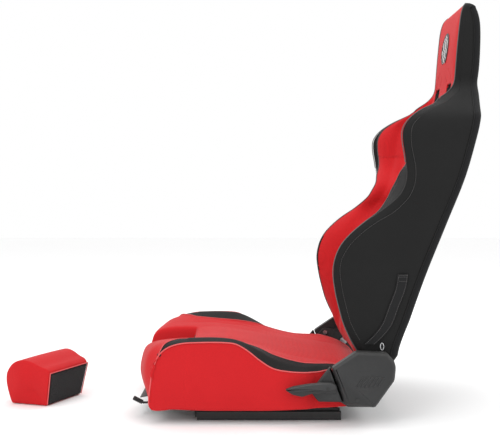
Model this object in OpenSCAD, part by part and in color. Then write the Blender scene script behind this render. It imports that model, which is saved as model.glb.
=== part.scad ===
// Reclining sports seat on slide rails, with a lift-out thigh insert.
// Frame: millimetres, +Z up, the seat faces -X, its left side is at -Y.
// The origin is the centre of the rail bolt pattern, on the plane that the rails stand on.

/* [Overall] */
// Width over the outer side panels of the cushion
seat_w = 524; // [470:1:620]
// Height of the backrest above the recline axis
back_h = 898; // [760:1:1000]
// Width of the headrest
head_w = 236; // [210:1:270]
// Width of the cushion centre between the thigh bolsters
centre_w = 298; // [250:1:330]

/* [Slide rails] */
// Length of each lower rail
rail_l = 340; // [300:1:420]
// Distance between the rail centre lines
rail_gauge = 400; // [360:1:410]
// Width of a lower rail
rail_w = 40; // [38:0.5:44]
// Height of the lower rail
rail_h = 20; // [18:0.5:24]
// Height of the top of the upper rail above the floor
upper_rail_top = 27; // [25:0.5:34]
// Sheet thickness of the rails
rail_t = 2; // [1.5:0.1:2.5]
// Radius of the floor bolt holes
floor_hole_r = 4.25; // [3:0.05:5.5]
// Distance between the front and rear floor bolts
floor_bolt_pitch = 300; // [240:1:320]
// Travel of the seat each way from its middle position
slide_travel = 100; // [60:1:120]

/* [Recliner] */
// Radius of the recline pivot bolt
pivot_r = 6; // [5:0.1:8]
// Radius of the release shaft
shaft_r = 6; // [4:0.1:7]
// Radius of the pawl pins
pawl_pin_r = 4; // [3:0.1:5]
// Running clearance of each pin in its bore
pin_gap = 0.05; // [0.02:0.01:0.08]
// Thickness of the arm, pawl and cam plates
arm_t = 4; // [3:0.1:4.6]
// Gap between plates that move past each other
plate_gap = 1; // [0.5:0.1:1.5]
// Root radius of the toothed sector
sector_r = 39; // [35:0.5:39.5]
// Tooth height of the sector
tooth_h = 3; // [2:0.1:3]

/* [Covers and handle] */
// Depth of the main recliner cover
cover_depth = 26; // [20:0.5:32]
// Wall thickness of the plastic covers
cover_wall = 2.5; // [2:0.1:3.5]
// Thickness of the recline handle
handle_t = 12; // [9:0.5:14]

/* [Frame] */
// Outer radius of the backrest tube
tube_r = 11; // [8:0.5:12]
// Height of the box-section side members
member_h = 20; // [16:0.5:22]
// Width of the box-section side members
member_w = 20; // [16:0.5:22]
// Thickness of the seat pan
pan_t = 2; // [1:0.1:3]

/* [Thigh insert] */
// Width of the insert at the back of its base
insert_w = 146; // [120:1:160]
// Depth of the insert at its base
insert_d = 100; // [90:1:104]
// Height of the insert at its crest
insert_h = 115; // [105:1:130]
// Gap between the insert and its notch
insert_gap = 0.8; // [0.6:0.1:2]

/* [Hidden] */
$fn = 48;

// Lateral stations, as distances from the middle plane.
seat_half = seat_w / 2;
wing_half = seat_half - 7;
head_half = head_w / 2;
centre_half = centre_w / 2;
rail_y = rail_gauge / 2;
foam_gap = 0.5;
rear_foam_half = seat_half - 12;
plate_in = seat_half - 10;                    // inner face of the inner recliner plate
arm_in = plate_in + arm_t + plate_gap;        // inner face of the arm, pawl and cam
outer_in = arm_in + arm_t + plate_gap;        // inner face of the outer plate
outer_t = 3;
cover_in = outer_in + outer_t + 1;            // rim of the covers
cover_out = cover_in + cover_depth;
trim_out = cover_out - handle_t - 2;          // outer face of the front trim
handle_in = cover_out - handle_t;

// Recline axis, release shaft and pawl pin, as [x, z].
pivot = [225, 108];
shaft = [133, 90];
pawl_at = [172, 132];
// The lower cross tube of the backrest, measured from the recline axis.
tube_at = [37, 42];
spring_post_r = 3;
spring_post_reach = 50;
tooth_step = 5;

// Heights of the base.
member_z = upper_rail_top + 11;
pan_z = member_z + member_h;
foam_z = pan_z + pan_t + 0.2;
member_in = rail_y - member_w / 2;
member_x0 = -185;
member_x1 = 245;
upper_rail_shift = -6;
front_tube_x = -165;
rear_tube_x = 232;
frame_tube_r = 6.5;
frame_tube_z = pan_z - frame_tube_r - 0.5;
stub_z = member_z + member_h / 2;
stub_x = [190, 236];
stub_r = 8;

// Slide release.
release_x = -100;
release_z = upper_rail_top + 8;
release_r = 4;
lock_in = rail_y - rail_w / 2 + 1;
lock_t = 4;
lock_pitch = 15;
lock_tooth = 5;
lock_lift = 0.6;

// Thigh insert: its notch and its place on the floor ahead of the seat.
notch_back_x = -207;
notch_floor_z = 80;
notch_lean = 0.2;
insert_flare_up = 0.13;
insert_flare_out = 0.125;
insert_back = insert_d / 2;
panel_t = 2;
insert_on_floor_x = -570;
insert_turn = 24.5;
ramp_slope = 0.27;

// Back wall of the notch at height z.
function notch_wall(z) = notch_back_x + notch_lean * (z - notch_floor_z);
centre_front_gap = panel_t + 0.7;

// Points of a smooth open curve through p, with n steps to a span.
function curve(p, n = 4) = concat(
    [for (i = [0 : len(p) - 2], j = [0 : n - 1])
        let (a = p[max(i - 1, 0)], b = p[i], c = p[i + 1], d = p[min(i + 2, len(p) - 1)], t = j / n)
        0.5 * (2 * b + (c - a) * t + (2 * a - 5 * b + 4 * c - d) * t * t
            + (3 * b - a - 3 * c + d) * t * t * t)],
    [p[len(p) - 1]]);
function reversed(p) = [for (i = [len(p) - 1 : -1 : 0]) p[i]];
function ring(r, a0, a1, n) = [for (i = [0 : n]) let (a = a0 + (a1 - a0) * i / n) r * [cos(a), sin(a)]];
// Backrest point, from its place above the recline axis at the standard height.
function back_at(p) = [pivot[0] + p[0], pivot[1] + p[1] * back_h / 898];
function back_line(p) = [for (q = p) back_at(q)];
// Backrest point that keeps its height when the backrest's height changes.
function still(p) = [p[0], p[1] * 898 / back_h];
function moved(p, dx) = [for (q = p) [q[0] + dx, q[1]]];

// Backrest outlines in side view, measured from the recline axis.
rear_low = [[84, 62], [104, 127], [144, 241], [189, 354], [234, 468], [265, 581], [276, 626]];
flange_high = [[288, 674], [297, 735], [300, 800], [299, 845], [293, 880]];
rear_high = [[276, 626], [288, 674], [297, 735], [300, 800], [299, 845], [293, 880]];
wing_front = [still([-27, 78]), still([-45, 97]), [-59, 134], [-74, 190], [-77, 235], [-66, 290], [-38, 327],
    [19, 374], [54, 430], [75, 467], [85, 510], [81, 550], [97, 597], [130, 624]];
shoulder_front = [[132, 627], [180, 645], [214, 665], [228, 690]];
centre_front = [still([-3, 60]), [15, 127], [37, 192], [63, 262], [90, 332], [120, 407], [150, 482],
    [177, 552], [200, 625]];
head_front = [[200, 627], [219, 655], [229, 690], [234, 740], [240, 810], [247, 870]];
// A thicker frame tube takes its extra room from the foam ahead of it.
tube_grow = tube_r - 11;
foam_rear = moved([still([33, 62]), [69, 127], [110, 241], [155, 354], [200, 468], [231, 581], [242, 626]], -2 * tube_grow);
frame_zone = 34 + 2 * tube_grow;
head_zone = 24 + 2 * tube_grow;
// Lower edges of the foam, which reach down ahead of the lower cross tube.
foot_rear = [[15, 27], [22, 33], [23.2, 44], [27, 57.5]];
centre_foot = concat([[-7, 47], [-4, 35], [4, 28]], foot_rear);
wing_foot = concat([[-20, 60], [-12, 42], [-4, 31], [4, 27.5]], foot_rear);
function foot_line(p) = [for (q = p) back_at(still(q))];
skin = 4;

// Cushion outlines in side view, as [x, z].
bolster_top = [[-284, 62], [-312, 84], [-317, 112], [-300, 146], [-272, 172], [-210, 189], [-140, 196],
    [-85, 191], [-51, 174], [-20, 155], [20, 142], [80, 137], [150, 133], [205, 118], [240, 96], [262, 68]];
centre_top = [[notch_wall(168) + centre_front_gap, 168], [-170, 173], [-120, 169], [-60, 160], [20, 146], [100, 131], [160, 122],
    [205, 113], [232, 98], [246, 72]];

// --- Helpers -----------------------------------------------------------------------------------

// A plate in the side-view plane, from inner to outer, on the left side.
module side_plate(inner, outer) {
    translate([0, -inner, 0]) rotate([90, 0, 0]) linear_extrude(outer - inner) children();
}

// A round bar across the seat at [x, z], from inner to outer, on the left side.
module cross_bar(at, r, inner, outer) {
    translate([at[0], -inner, at[1]]) rotate([90, 0, 0]) cylinder(r = r, h = outer - inner);
}

module on_right() {
    mirror([0, 1, 0]) children();
}

module both_sides() {
    children();
    on_right() children();
}

// A section drawn in the YZ plane, run along X from x0 to x1.
module along_x(x0, x1) {
    translate([x0, 0, 0]) rotate([90, 0, 90]) linear_extrude(x1 - x0) children();
}

// A straight round bar between two points.
module bar(a, b, r) {
    d = b - a;
    l = norm(d);
    translate(a) rotate([0, acos(d[2] / l), atan2(d[1], d[0])]) cylinder(r = r, h = l);
}

// A bent round bar through the points, a little swollen at its bends.
bend_swell = 0.4;
module bent_tube(points, r) {
    for (i = [0 : len(points) - 2]) bar(points[i], points[i + 1], r);
    for (i = [1 : len(points) - 2]) translate(points[i]) sphere(r = r + bend_swell);
}

// --- Slide rails -------------------------------------------------------------------------------

lip = rail_w / 2 - 10;          // inner edge of the lower rail's lip
lip_drop = 6;
web = lip - 1;                  // half width of the upper rail's box
foot = rail_w / 2 - rail_t - 1.5;
foot_z = rail_t + 3;

// Both halves of a section from the half with positive y.
function whole(half) = concat(half, [for (i = [len(half) - 1 : -1 : 0]) [-half[i][0], half[i][1]]]);

module lower_rail_section() {
    polygon(whole([[rail_w / 2, 0], [rail_w / 2, rail_h], [lip, rail_h],
        [lip, rail_h - lip_drop], [lip + rail_t, rail_h - lip_drop], [lip + rail_t, rail_h - rail_t],
        [rail_w / 2 - rail_t, rail_h - rail_t], [rail_w / 2 - rail_t, rail_t]]));
}

module upper_rail_section() {
    foot_top = rail_h - lip_drop - 1;
    polygon(whole([[web, upper_rail_top], [web, foot_z + rail_t],
        [foot - rail_t, foot_z + rail_t], [foot - rail_t, foot_top], [foot, foot_top], [foot, foot_z],
        [web - rail_t, foot_z], [web - rail_t, upper_rail_top - rail_t]]));
}

module lower_rail() {
    color([0.08, 0.08, 0.08]) difference() {
        translate([0, -rail_y, 0]) along_x(-rail_l / 2, rail_l / 2) lower_rail_section();
        for (s = [-1, 1]) translate([s * floor_bolt_pitch / 2, -rail_y, -1]) cylinder(r = floor_hole_r, h = rail_t + 2);
        for (i = [-9 : 9]) translate([i * lock_pitch - lock_tooth / 2 - 0.5, -lock_in - lock_t - 1, rail_h - rail_t - 0.5])
            cube([lock_tooth + 1, lock_t + 2, rail_t + 1]);
    }
}

// Tabs that close the ends of each lower rail, between the feet of the upper rail.
module rail_end_stops() {
    color([0.08, 0.08, 0.08]) both_sides() for (s = [-1, 1])
        translate([s * (rail_l / 2 - 6) - 3, -rail_y - web + rail_t + 0.5, rail_t])
            cube([6, 2 * (web - rail_t) - 1, 6]);
}

upper_x0 = -rail_l / 2 + upper_rail_shift;
upper_x1 = rail_l / 2 + upper_rail_shift;
rail_bolt_x = [-140, 10, 130];

module upper_rail() {
    color([0.1, 0.1, 0.1]) difference() {
        translate([0, -rail_y, 0]) along_x(upper_x0, upper_x1) upper_rail_section();
        for (x = rail_bolt_x) translate([x, -rail_y, upper_rail_top - rail_t - 1]) cylinder(r = 4.2, h = rail_t + 2);
    }
}

module glide_pads() {
    pad_l = 22;
    color([0.85, 0.85, 0.8]) both_sides() for (x = [upper_x0 + 14, -40, 30, upper_x1 - 14 - pad_l], s = [-1, 1])
        translate([x, -rail_y + s * (foot - 3.6) - 3, rail_t + 0.3]) cube([pad_l, 6, foot_z - rail_t - 0.3]);
}

module rail_spacers() {
    color([0.12, 0.12, 0.12]) both_sides() for (x = rail_bolt_x) difference() {
        translate([x - 14, -rail_y - web, upper_rail_top]) cube([28, 2 * web, member_z - upper_rail_top]);
        translate([x, -rail_y, upper_rail_top - 1]) cylinder(r = 4.2, h = member_z);
    }
}

module rail_bolts() {
    color([0.6, 0.6, 0.6]) both_sides() for (x = rail_bolt_x) translate([x, -rail_y, 0]) {
        translate([0, 0, upper_rail_top - rail_t - 5]) cylinder(r = 6, h = 5);
        translate([0, 0, upper_rail_top - rail_t]) cylinder(r = 4, h = member_z + 2 - upper_rail_top + rail_t);
        translate([0, 0, member_z + 2]) cylinder(r = 6, h = 5, $fn = 6);
    }
}

// --- Base frame and pan ------------------------------------------------------------------------

module base_frame() {
    color([0.13, 0.13, 0.14]) {
        both_sides() difference() {
            union() {
                difference() {
                    translate([member_x0, -rail_y - member_w / 2, member_z])
                        cube([member_x1 - member_x0, member_w, member_h]);
                    translate([member_x0 - 1, -rail_y - member_w / 2 + 2, member_z + 2])
                        cube([member_x1 - member_x0 + 2, member_w - 4, member_h - 4]);
                }
                for (x = stub_x) cross_bar([x, stub_z], stub_r, rail_y + member_w / 2 - 1, plate_in);
                translate([release_x - 9, -member_in, release_z - 8]) cube([18, 4, pan_z - release_z + 8 - 2]);
            }
            for (x = rail_bolt_x) translate([x, -rail_y, member_z - 1]) cylinder(r = 4.2, h = 4);
            cross_bar([release_x, release_z], release_r + pin_gap, member_in - 5, member_in + 1);
        }
        for (x = [front_tube_x, rear_tube_x])
            cross_bar([x, frame_tube_z], frame_tube_r, -member_in - 1, member_in + 1);
    }
}

pan_front_x = -310;
module seat_pan() {
    pan_half = rail_y + 6;
    front_half = lock_in - 10;
    color([0.16, 0.16, 0.17]) difference() {
        union() {
            side_plate(-front_half, front_half)
                polygon([[pan_front_x, pan_z - 16], [notch_back_x - 8, pan_z], [member_x1, pan_z],
                    [member_x1, pan_z + pan_t], [notch_back_x - 8, pan_z + pan_t], [pan_front_x, pan_z - 16 + pan_t]]);
            translate([member_x0, -pan_half, pan_z]) cube([member_x1 - member_x0, 2 * pan_half, pan_t]);
        }
        for (x = [-110 : 70 : 170], y = [-90, 0, 90]) translate([x, y, pan_z - 1]) cylinder(r = 16, h = pan_t + 2);
    }
}

// --- Recliner ----------------------------------------------------------------------------------

module at(p) {
    translate([p[0], p[1]]) children();
}

module pin_bore(p, r) {
    cross_bar(p, r + pin_gap, plate_in - 10, cover_out + 10);
}

module recliner_plate() {
    color([0.2, 0.2, 0.21]) difference() {
        side_plate(plate_in, plate_in + arm_t) hull() {
            at(pivot) circle(r = 32);
            at(shaft) circle(r = 14);
            at([stub_x[0] - 6, member_z + 9]) circle(r = 7);
            at([stub_x[1], member_z + 9]) circle(r = 7);
            at(pawl_at) circle(r = 12);
        }
        pin_bore(pivot, pivot_r);
        pin_bore(shaft, shaft_r);
        pin_bore(pawl_at, pawl_pin_r);
    }
}

spacer_at = [[205, 58], [151, 71]];
module outer_plate() {
    color([0.2, 0.2, 0.21]) difference() {
        side_plate(outer_in, outer_in + outer_t) hull() {
            at(pivot) circle(r = 26);
            at(shaft) circle(r = 12);
            at(pawl_at) circle(r = 10);
            at(spacer_at[0]) circle(r = 7);
        }
        pin_bore(pivot, pivot_r);
        pin_bore(shaft, shaft_r);
        pin_bore(pawl_at, pawl_pin_r);
    }
}

module plate_spacers() {
    color([0.5, 0.5, 0.5]) both_sides() for (p = spacer_at) cross_bar(p, 4, plate_in + arm_t, outer_in);
}

module pivot_bolts() {
    color([0.55, 0.55, 0.57]) both_sides() {
        cross_bar(pivot, 10, plate_in - 5, plate_in);
        cross_bar(pivot, pivot_r, plate_in, outer_in + outer_t);
        cross_bar(pivot, pivot_r + 3.5, outer_in + outer_t, outer_in + outer_t + 6);
    }
}

module pawl_pins() {
    color([0.55, 0.55, 0.57]) both_sides() {
        cross_bar(pawl_at, pawl_pin_r + 2, plate_in - 2, plate_in);
        cross_bar(pawl_at, pawl_pin_r, plate_in, outer_in + outer_t);
        cross_bar(pawl_at, pawl_pin_r + 2, outer_in + outer_t, outer_in + outer_t + 2);
    }
}

// Spiral spring that carries the backrest's weight, with its outer end by the arm's post.
spring_a0 = atan2(tube_at[1], tube_at[0]);
module clock_spring() {
    turns = 3.25;
    steps = 78;
    r0 = pivot_r + 5.6;
    r1 = spring_post_reach - spring_post_r - 4;
    strip = 1.8;
    spiral = [for (i = [0 : steps]) let (t = i / steps, a = spring_a0 - 360 * turns * (1 - t)) (r0 + (r1 - r0) * t) * [cos(a), sin(a)]];
    inner = [for (i = [0 : steps]) let (t = i / steps, a = spring_a0 - 360 * turns * (1 - t)) (r0 - strip + (r1 - r0) * t) * [cos(a), sin(a)]];
    color([0.35, 0.35, 0.37]) side_plate(outer_in + outer_t, outer_in + outer_t + 6.5)
        translate(pivot) polygon(concat(spiral, reversed(inner)));
}

module tooth(r, a) {
    polygon([(r - 1) * [cos(a - 2.1), sin(a - 2.1)], (r + tooth_h) * [cos(a - 0.6), sin(a - 0.6)],
        (r + tooth_h) * [cos(a + 0.6), sin(a + 0.6)], (r - 1) * [cos(a + 2.1), sin(a + 2.1)]]);
}

module recliner_arm() {
    color([0.22, 0.22, 0.23]) difference() {
        union() {
            side_plate(arm_in, arm_in + arm_t) {
                translate(pivot) circle(r = sector_r);
                hull() {
                    translate(pivot) circle(r = 26);
                    translate(pivot + tube_at) circle(r = 14);
                }
                translate(pivot) for (a = [115 : tooth_step : 235]) tooth(sector_r, a);
            }
            cross_bar(pivot + spring_post_reach * [cos(spring_a0), sin(spring_a0)], spring_post_r,
                arm_in + arm_t - 0.5, outer_in + outer_t + 8);
        }
        pin_bore(pivot, pivot_r);
    }
}

// The pawl's toothed face stands just clear of the sector, with its teeth over the sector's gaps.
pawl_clear = 0.5;
module pawl() {
    face_r = sector_r + tooth_h + pawl_clear;
    color([0.4, 0.4, 0.42]) difference() {
        side_plate(arm_in, arm_in + arm_t) difference() {
            hull() {
                at(pawl_at) circle(r = pawl_pin_r + 4);
                polygon([[169, 99], [184, 99], [184, 118], [169, 118]]);
            }
            translate(pivot) circle(r = face_r);
        }
        pin_bore(pawl_at, pawl_pin_r);
    }
}

cam_nose = [161.5, 99.3];
module release_cams() {
    color([0.4, 0.4, 0.42]) both_sides() difference() {
        side_plate(arm_in, arm_in + arm_t) hull() {
            at(shaft) circle(r = shaft_r + 4);
            at(cam_nose) circle(r = 5);
        }
        cross_bar(shaft, shaft_r + pin_gap, arm_in - 1, arm_in + arm_t + 1);
    }
}

right_shaft_end = outer_in + outer_t + 4;
module release_shaft() {
    color([0.5, 0.5, 0.52]) cross_bar(shaft, shaft_r, -right_shaft_end, handle_in + 8);
}

// Push-on rings that keep the shaft in its bores, outside the outer plates.
module shaft_retainers() {
    color([0.3, 0.3, 0.3]) both_sides() difference() {
        cross_bar(shaft, shaft_r + 3, outer_in + outer_t + 0.35, outer_in + outer_t + 2.4);
        cross_bar(shaft, shaft_r + pin_gap, outer_in, cover_out);
    }
}

handle_outline = concat(
    curve([[35, 87], [52, 94], [84, 99.5], [118, 103], [142, 103.5]]),
    curve([[151, 99], [154, 91], [151, 83], [142, 79]]),
    curve([[132, 78], [122, 82], [112, 78], [102, 79], [92, 75], [72, 70.5], [50, 76]]));

module recline_handle() {
    color([0.17, 0.17, 0.18]) difference() {
        side_plate(handle_in, cover_out) polygon(handle_outline);
        cross_bar(shaft, shaft_r + pin_gap, handle_in - 1, handle_in + 8.2);
        cross_bar(shaft, 2.6, handle_in, cover_out + 1);
    }
}

module handle_screw() {
    color([0.6, 0.6, 0.6]) {
        cross_bar(shaft, 2.5, handle_in + 8.2, cover_out);
        cross_bar(shaft, 4.5, cover_out, cover_out + 1.6);
    }
}

// --- Recliner covers ---------------------------------------------------------------------------

cover_outline = [[198, 174], [268, 171], [284, 153], [288, 138], [285, 108], [241, 46], [174, 53], [142, 136]];
cover_bevel = 7;

module cover_block(grow, inner, outer, bevel) {
    hull() {
        side_plate(inner, inner + 1) offset(delta = grow) polygon(cover_outline);
        side_plate(outer - bevel - 1, outer - bevel) offset(delta = grow) polygon(cover_outline);
        side_plate(outer - 1, outer) offset(delta = grow - bevel) polygon(cover_outline);
    }
}

cover_screw_at = [[200, 64], [262, 160]];
module recliner_cover() {
    color([0.2, 0.2, 0.2]) difference() {
        cover_block(0, cover_in, cover_out, cover_bevel);
        cover_block(-cover_wall, cover_in - 2, cover_out - cover_wall, cover_bevel);
        for (p = [cover_screw_at[0]]) cross_bar(p, 2.2, cover_in, cover_out + 1);
    }
}

trim_outline = [[95, 78], [110, 101], [139.5, 138], [171, 56], [112, 57]];
module front_trim() {
    color([0.19, 0.19, 0.19]) {
        difference() {
            side_plate(cover_in, trim_out) polygon(trim_outline);
            side_plate(cover_in - 1, trim_out - cover_wall) offset(delta = -cover_wall) polygon(trim_outline);
            cross_bar(shaft, shaft_r + 2, cover_in, cover_out);
        }
        cross_bar(spacer_at[1] + [3, 2], 4, outer_in + outer_t, trim_out - 1);
    }
}

module cover_screws() {
    color([0.3, 0.3, 0.3]) both_sides() {
        cross_bar(cover_screw_at[0], 2, outer_in + outer_t, cover_out);
        cross_bar(cover_screw_at[0], 4, cover_out, cover_out + 1.5);
    }
}

// --- Cushion -----------------------------------------------------------------------------------

// Outer panels stand further out in front, and step in behind for the recliner.
panel_step_x = 92;
bolster_plan = concat(
    [[notch_back_x + 20, 50], [-320, 50]],
    curve([[-319, 80], [-314, 130], [-303, 190], [-288, 238], [-268, seat_half]], 3),
    [[panel_step_x, seat_half], [panel_step_x + 14, rear_foam_half], [264, rear_foam_half], [264, centre_half + foam_gap],
        [notch_back_x + 20, centre_half + foam_gap]]);

// The space that the insert needs, a clearance larger all round.
module notch_cutter(gap) {
    h = 140;
    back = notch_back_x + panel_t + 1;
    front = back - 160;
    function half(x, z) = insert_w / 2 + gap + insert_flare_up * z + insert_flare_out * (back - x);
    low = [for (p = [[back, 1], [back, -1], [front, -1], [front, 1]]) [p[0], p[1] * half(p[0], -60), notch_floor_z - 60]];
    high = [for (p = [[back, 1], [back, -1], [front, -1], [front, 1]])
        [p[0] + notch_lean * h + 16, p[1] * half(p[0], h), notch_floor_z + h]];
    polyhedron(points = concat(low, high), faces = [[3, 2, 1, 0], [4, 5, 6, 7], [0, 1, 5, 4], [1, 2, 6, 5], [2, 3, 7, 6], [3, 0, 4, 7]]);
}

skirt_t = 12;
skirt_z = 31;
module thigh_bolster() {
    color([0.8, 0.1, 0.12]) difference() {
        intersection() {
            union() {
                side_plate(50, seat_half) polygon(concat([[240, foam_z]], [[-284, foam_z]], curve(bolster_top)));
                side_plate(seat_half - skirt_t, seat_half) polygon([[-268, skirt_z + 14], [-256, skirt_z],
                    [panel_step_x, skirt_z], [panel_step_x, foam_z + 20], [-276, foam_z + 20]]);
                side_plate(rear_foam_half - skirt_t, rear_foam_half) polygon([[panel_step_x - 1, skirt_z],
                    [232, skirt_z + 11], [255, foam_z + 8], [panel_step_x - 1, foam_z + 8]]);
            }
            translate([0, 0, 20]) mirror([0, 1, 0]) linear_extrude(220) polygon(bolster_plan);
        }
        notch_cutter(insert_gap);
        side_plate(0, centre_half + foam_gap) polygon([[notch_wall(foam_z - 5) + centre_front_gap - 0.5, foam_z - 5],
            [300, foam_z - 5], [300, 260], [notch_wall(260) + centre_front_gap - 0.5, 260]]);
        cross_bar(shaft, shaft_r + 3, 0, seat_half + 5);
        cross_bar(pivot, 13, plate_in - 7, seat_half);
        for (x = stub_x) cross_bar([x, stub_z], stub_r + 1, rail_y, seat_half);
    }
}

module cushion_centre() {
    color([0.82, 0.1, 0.12]) difference() {
        side_plate(-centre_half, centre_half) polygon(concat(
            [[248, foam_z], [notch_wall(foam_z) + centre_front_gap, foam_z]],
            curve(centre_top)));
        cross_bar(shaft, shaft_r + 3, -seat_half, seat_half);
    }
}

module insert_ramp() {
    half = insert_w / 2 + 40;
    x0 = pan_front_x + 2;
    x1 = notch_back_x - 0.6;
    low = foam_z + 0.5;
    top1 = notch_floor_z - 0.8;
    color([0.07, 0.07, 0.07]) intersection() {
        side_plate(-half, half) polygon([[x0, pan_z - 15 + pan_t],
            [notch_back_x - 8, low], [notch_wall(low) + 1.5, low], [notch_wall(top1) + 1.5, top1], [x1, top1],
            [x0, top1 - ramp_slope * (x1 - x0)]]);
        notch_cutter(-0.6);
    }
}

// Hook tape on the back wall of the notch.
module hook_panel() {
    half = insert_w / 2 - 8;
    z0 = notch_floor_z + 6;
    z1 = notch_floor_z + 76;
    color([0.05, 0.05, 0.05]) side_plate(-half, half) polygon([[notch_wall(z0) + 0.5, z0],
        [notch_wall(z0) + 0.5 + panel_t, z0], [notch_wall(z1) + 0.5 + panel_t, z1], [notch_wall(z1) + 0.5, z1]]);
}

// --- Slide release -----------------------------------------------------------------------------

grip_tip = [-325, 45];
grip_root = [-303, 34];
rod_r = 2.5;
// Far end of the rod, inside the grip.
function rod_end(y) = [(grip_root[0] + grip_tip[0]) / 2 - 4, y, (grip_root[1] + grip_tip[1]) / 2 + 1.5];
module slide_release_bar() {
    rod_y = lock_in + lock_t / 2;
    y = -rod_y;
    color([0.45, 0.45, 0.46]) union() {
        cross_bar([release_x, release_z], release_r, -member_in + 0.3, member_in - 0.3);
        bent_tube([[release_x, y, release_z], [grip_root[0] + 2, y, grip_root[1] - 1], rod_end(y)], rod_r);
    }
}

module slide_release_grip() {
    y = -(lock_in + lock_t / 2);
    a = [grip_root[0], y, grip_root[1]];
    b = [grip_tip[0], y, grip_tip[1]];
    c = [grip_root[0] + 2, y, grip_root[1] - 1];
    color([0.12, 0.12, 0.12]) difference() {
        bar(c + 0.25 * (a - c), b, 6);
        bar(c - (a - c), rod_end(y), rod_r + 0.02);
    }
}

module slide_locks() {
    color([0.4, 0.4, 0.42]) both_sides() difference() {
        side_plate(lock_in, lock_in + lock_t) {
            translate([release_x, release_z]) circle(r = release_r + 3.5);
            polygon([[release_x, release_z + 4], [release_x, release_z - 5], [-122, rail_h + 4], [-162, rail_h + 4],
                [-162, rail_h + 12], [-125, rail_h + 12]]);
            for (i = [-10 : -9]) polygon([[i * lock_pitch - lock_tooth / 2, rail_h + 5], [i * lock_pitch - lock_tooth / 2 + 0.5, rail_h + lock_lift],
                [i * lock_pitch + lock_tooth / 2 - 0.5, rail_h + lock_lift], [i * lock_pitch + lock_tooth / 2, rail_h + 5]]);
        }
        cross_bar([release_x, release_z], release_r, lock_in - 1, lock_in + lock_t + 1);
        bar([release_x, -(lock_in + lock_t / 2), release_z],
            [grip_root[0] + 2, -(lock_in + lock_t / 2), grip_root[1] - 1], rod_r);
    }
}

// --- Backrest ----------------------------------------------------------------------------------

// A tube through points of the backrest, each [x, height, y], on one side.
module frame_tube(points, r) {
    bent_tube([for (q = points) let (a = back_at(q)) [a[0], -q[2], a[1]]], r);
}

module back_frame() {
    side = rail_y - 10;
    neck_r = tube_r - 3;
    neck = head_half - skin - 3 - neck_r;
    top_x = 247 - tube_grow;
    neck_x = 286 - tube_grow;
    color([0.15, 0.15, 0.16]) {
        cross_bar(pivot + tube_at, tube_r + 0.5, -arm_in, arm_in);
        both_sides() {
            frame_tube([[tube_at[0], tube_at[1] * 898 / back_h, side], [84 - tube_grow, 127, side], [214 - tube_grow, 468, side],
                [top_x, 588, side - 12]], tube_r);
            translate([back_at([top_x, 588])[0], 12 - side, back_at([top_x, 588])[1]]) sphere(r = tube_r + bend_swell);
            frame_tube([[top_x, 588, side - 12], [271 - tube_grow, 660, neck], [284 - tube_grow, 735, neck], [neck_x, 835, neck]], neck_r);
            translate([back_at([neck_x, 835])[0], -neck, back_at([neck_x, 835])[1]]) sphere(r = neck_r + bend_swell);
        }
        cross_bar(back_at([neck_x, 835]), neck_r, -neck, neck);
        cross_bar(back_at([top_x, 588]), neck_r, 12 - side, side - 12);
        cross_bar(back_at([126.5 - tube_grow, 241]), neck_r, -side, side);
    }
}

// Wires stretched across the frame, and the edge cords that space them, which carry the occupant's back.
module back_springs() {
    wire = 1.6;
    side = rail_y - 10 - tube_r;
    function low(h) = let (a = back_at([34 - tube_grow + 0.381 * h, h])) [a[0], 0, a[1]];
    color([0.5, 0.5, 0.52]) {
        for (h = [130, 180, 300, 355, 410, 464]) bar(low(h) + [0, -side, 0], low(h) + [0, side, 0], wire);
        for (s = [-1, 1], span = [[120, 190], [290, 474]])
            bar(low(span[0]) + [0, s * side * 0.6, 0], low(span[1]) + [0, s * side * 0.6, 0], wire + 0.6);
    }
}

module back_profile(front, rear, keep, foot) {
    polygon(concat(moved(curve(back_line(rear)), -keep), reversed(curve(back_line(front))), foot_line(foot)));
}

// The slope of the shoulders, from the neck out and down to the sides.
module shoulder_slope(drop) {
    line = [for (q = [[head_half + 0.2, 698], [204, 636], [wing_half - 18, 612], [wing_half + 2, 572],
        [wing_half + 2, 760], [head_half + 0.2, 760]]) [q[0], back_at(q)[1] - drop]];
    both_sides() along_x(pivot[0] + 80, pivot[0] + 330) polygon([for (q = line) [-q[0], q[1]]]);
}

module back_cushion() {
    color([0.82, 0.1, 0.12]) side_plate(-centre_half, centre_half) back_profile(centre_front, foam_rear, 0, centre_foot);
}

shoulder_top = [[276 - frame_zone, 627], [290 - frame_zone, 690], [232 - 2 * tube_grow, 697]];
module back_wing() {
    tube_clear = rail_y + 6;
    shoulder_out = centre_half + 46;
    color([0.1, 0.1, 0.1]) difference() {
        union() {
            side_plate(head_half + foam_gap, centre_half + 2)
                polygon(concat(back_line(shoulder_top), reversed(curve(back_line(shoulder_front)))));
            side_plate(centre_half + foam_gap, shoulder_out) polygon(concat(
                curve(back_line(foam_rear)), back_line(shoulder_top),
                reversed(concat(curve(back_line(wing_front)), curve(back_line(shoulder_front)))), foot_line(wing_foot)));
            side_plate(shoulder_out - 1, tube_clear) back_profile(wing_front, foam_rear, 0, wing_foot);
            side_plate(tube_clear, wing_half - skin - foam_gap) back_profile(wing_front, rear_low, skin + foam_gap, wing_foot);
        }
        shoulder_slope(0);
    }
}

slot_in = 42;
slot_w = 48 - 2 * tube_grow;
slot_z0 = 664;
slot_z1 = 702;
liner = 2;
module harness_slots(grow) {
    z0 = back_at([0, slot_z0])[1];
    z1 = back_at([0, slot_z1])[1];
    both_sides() translate([pivot[0] + 150, -slot_in - slot_w - grow, z0 - grow])
        cube([200, slot_w + 2 * grow, z1 - z0 + 2 * grow]);
}

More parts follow.
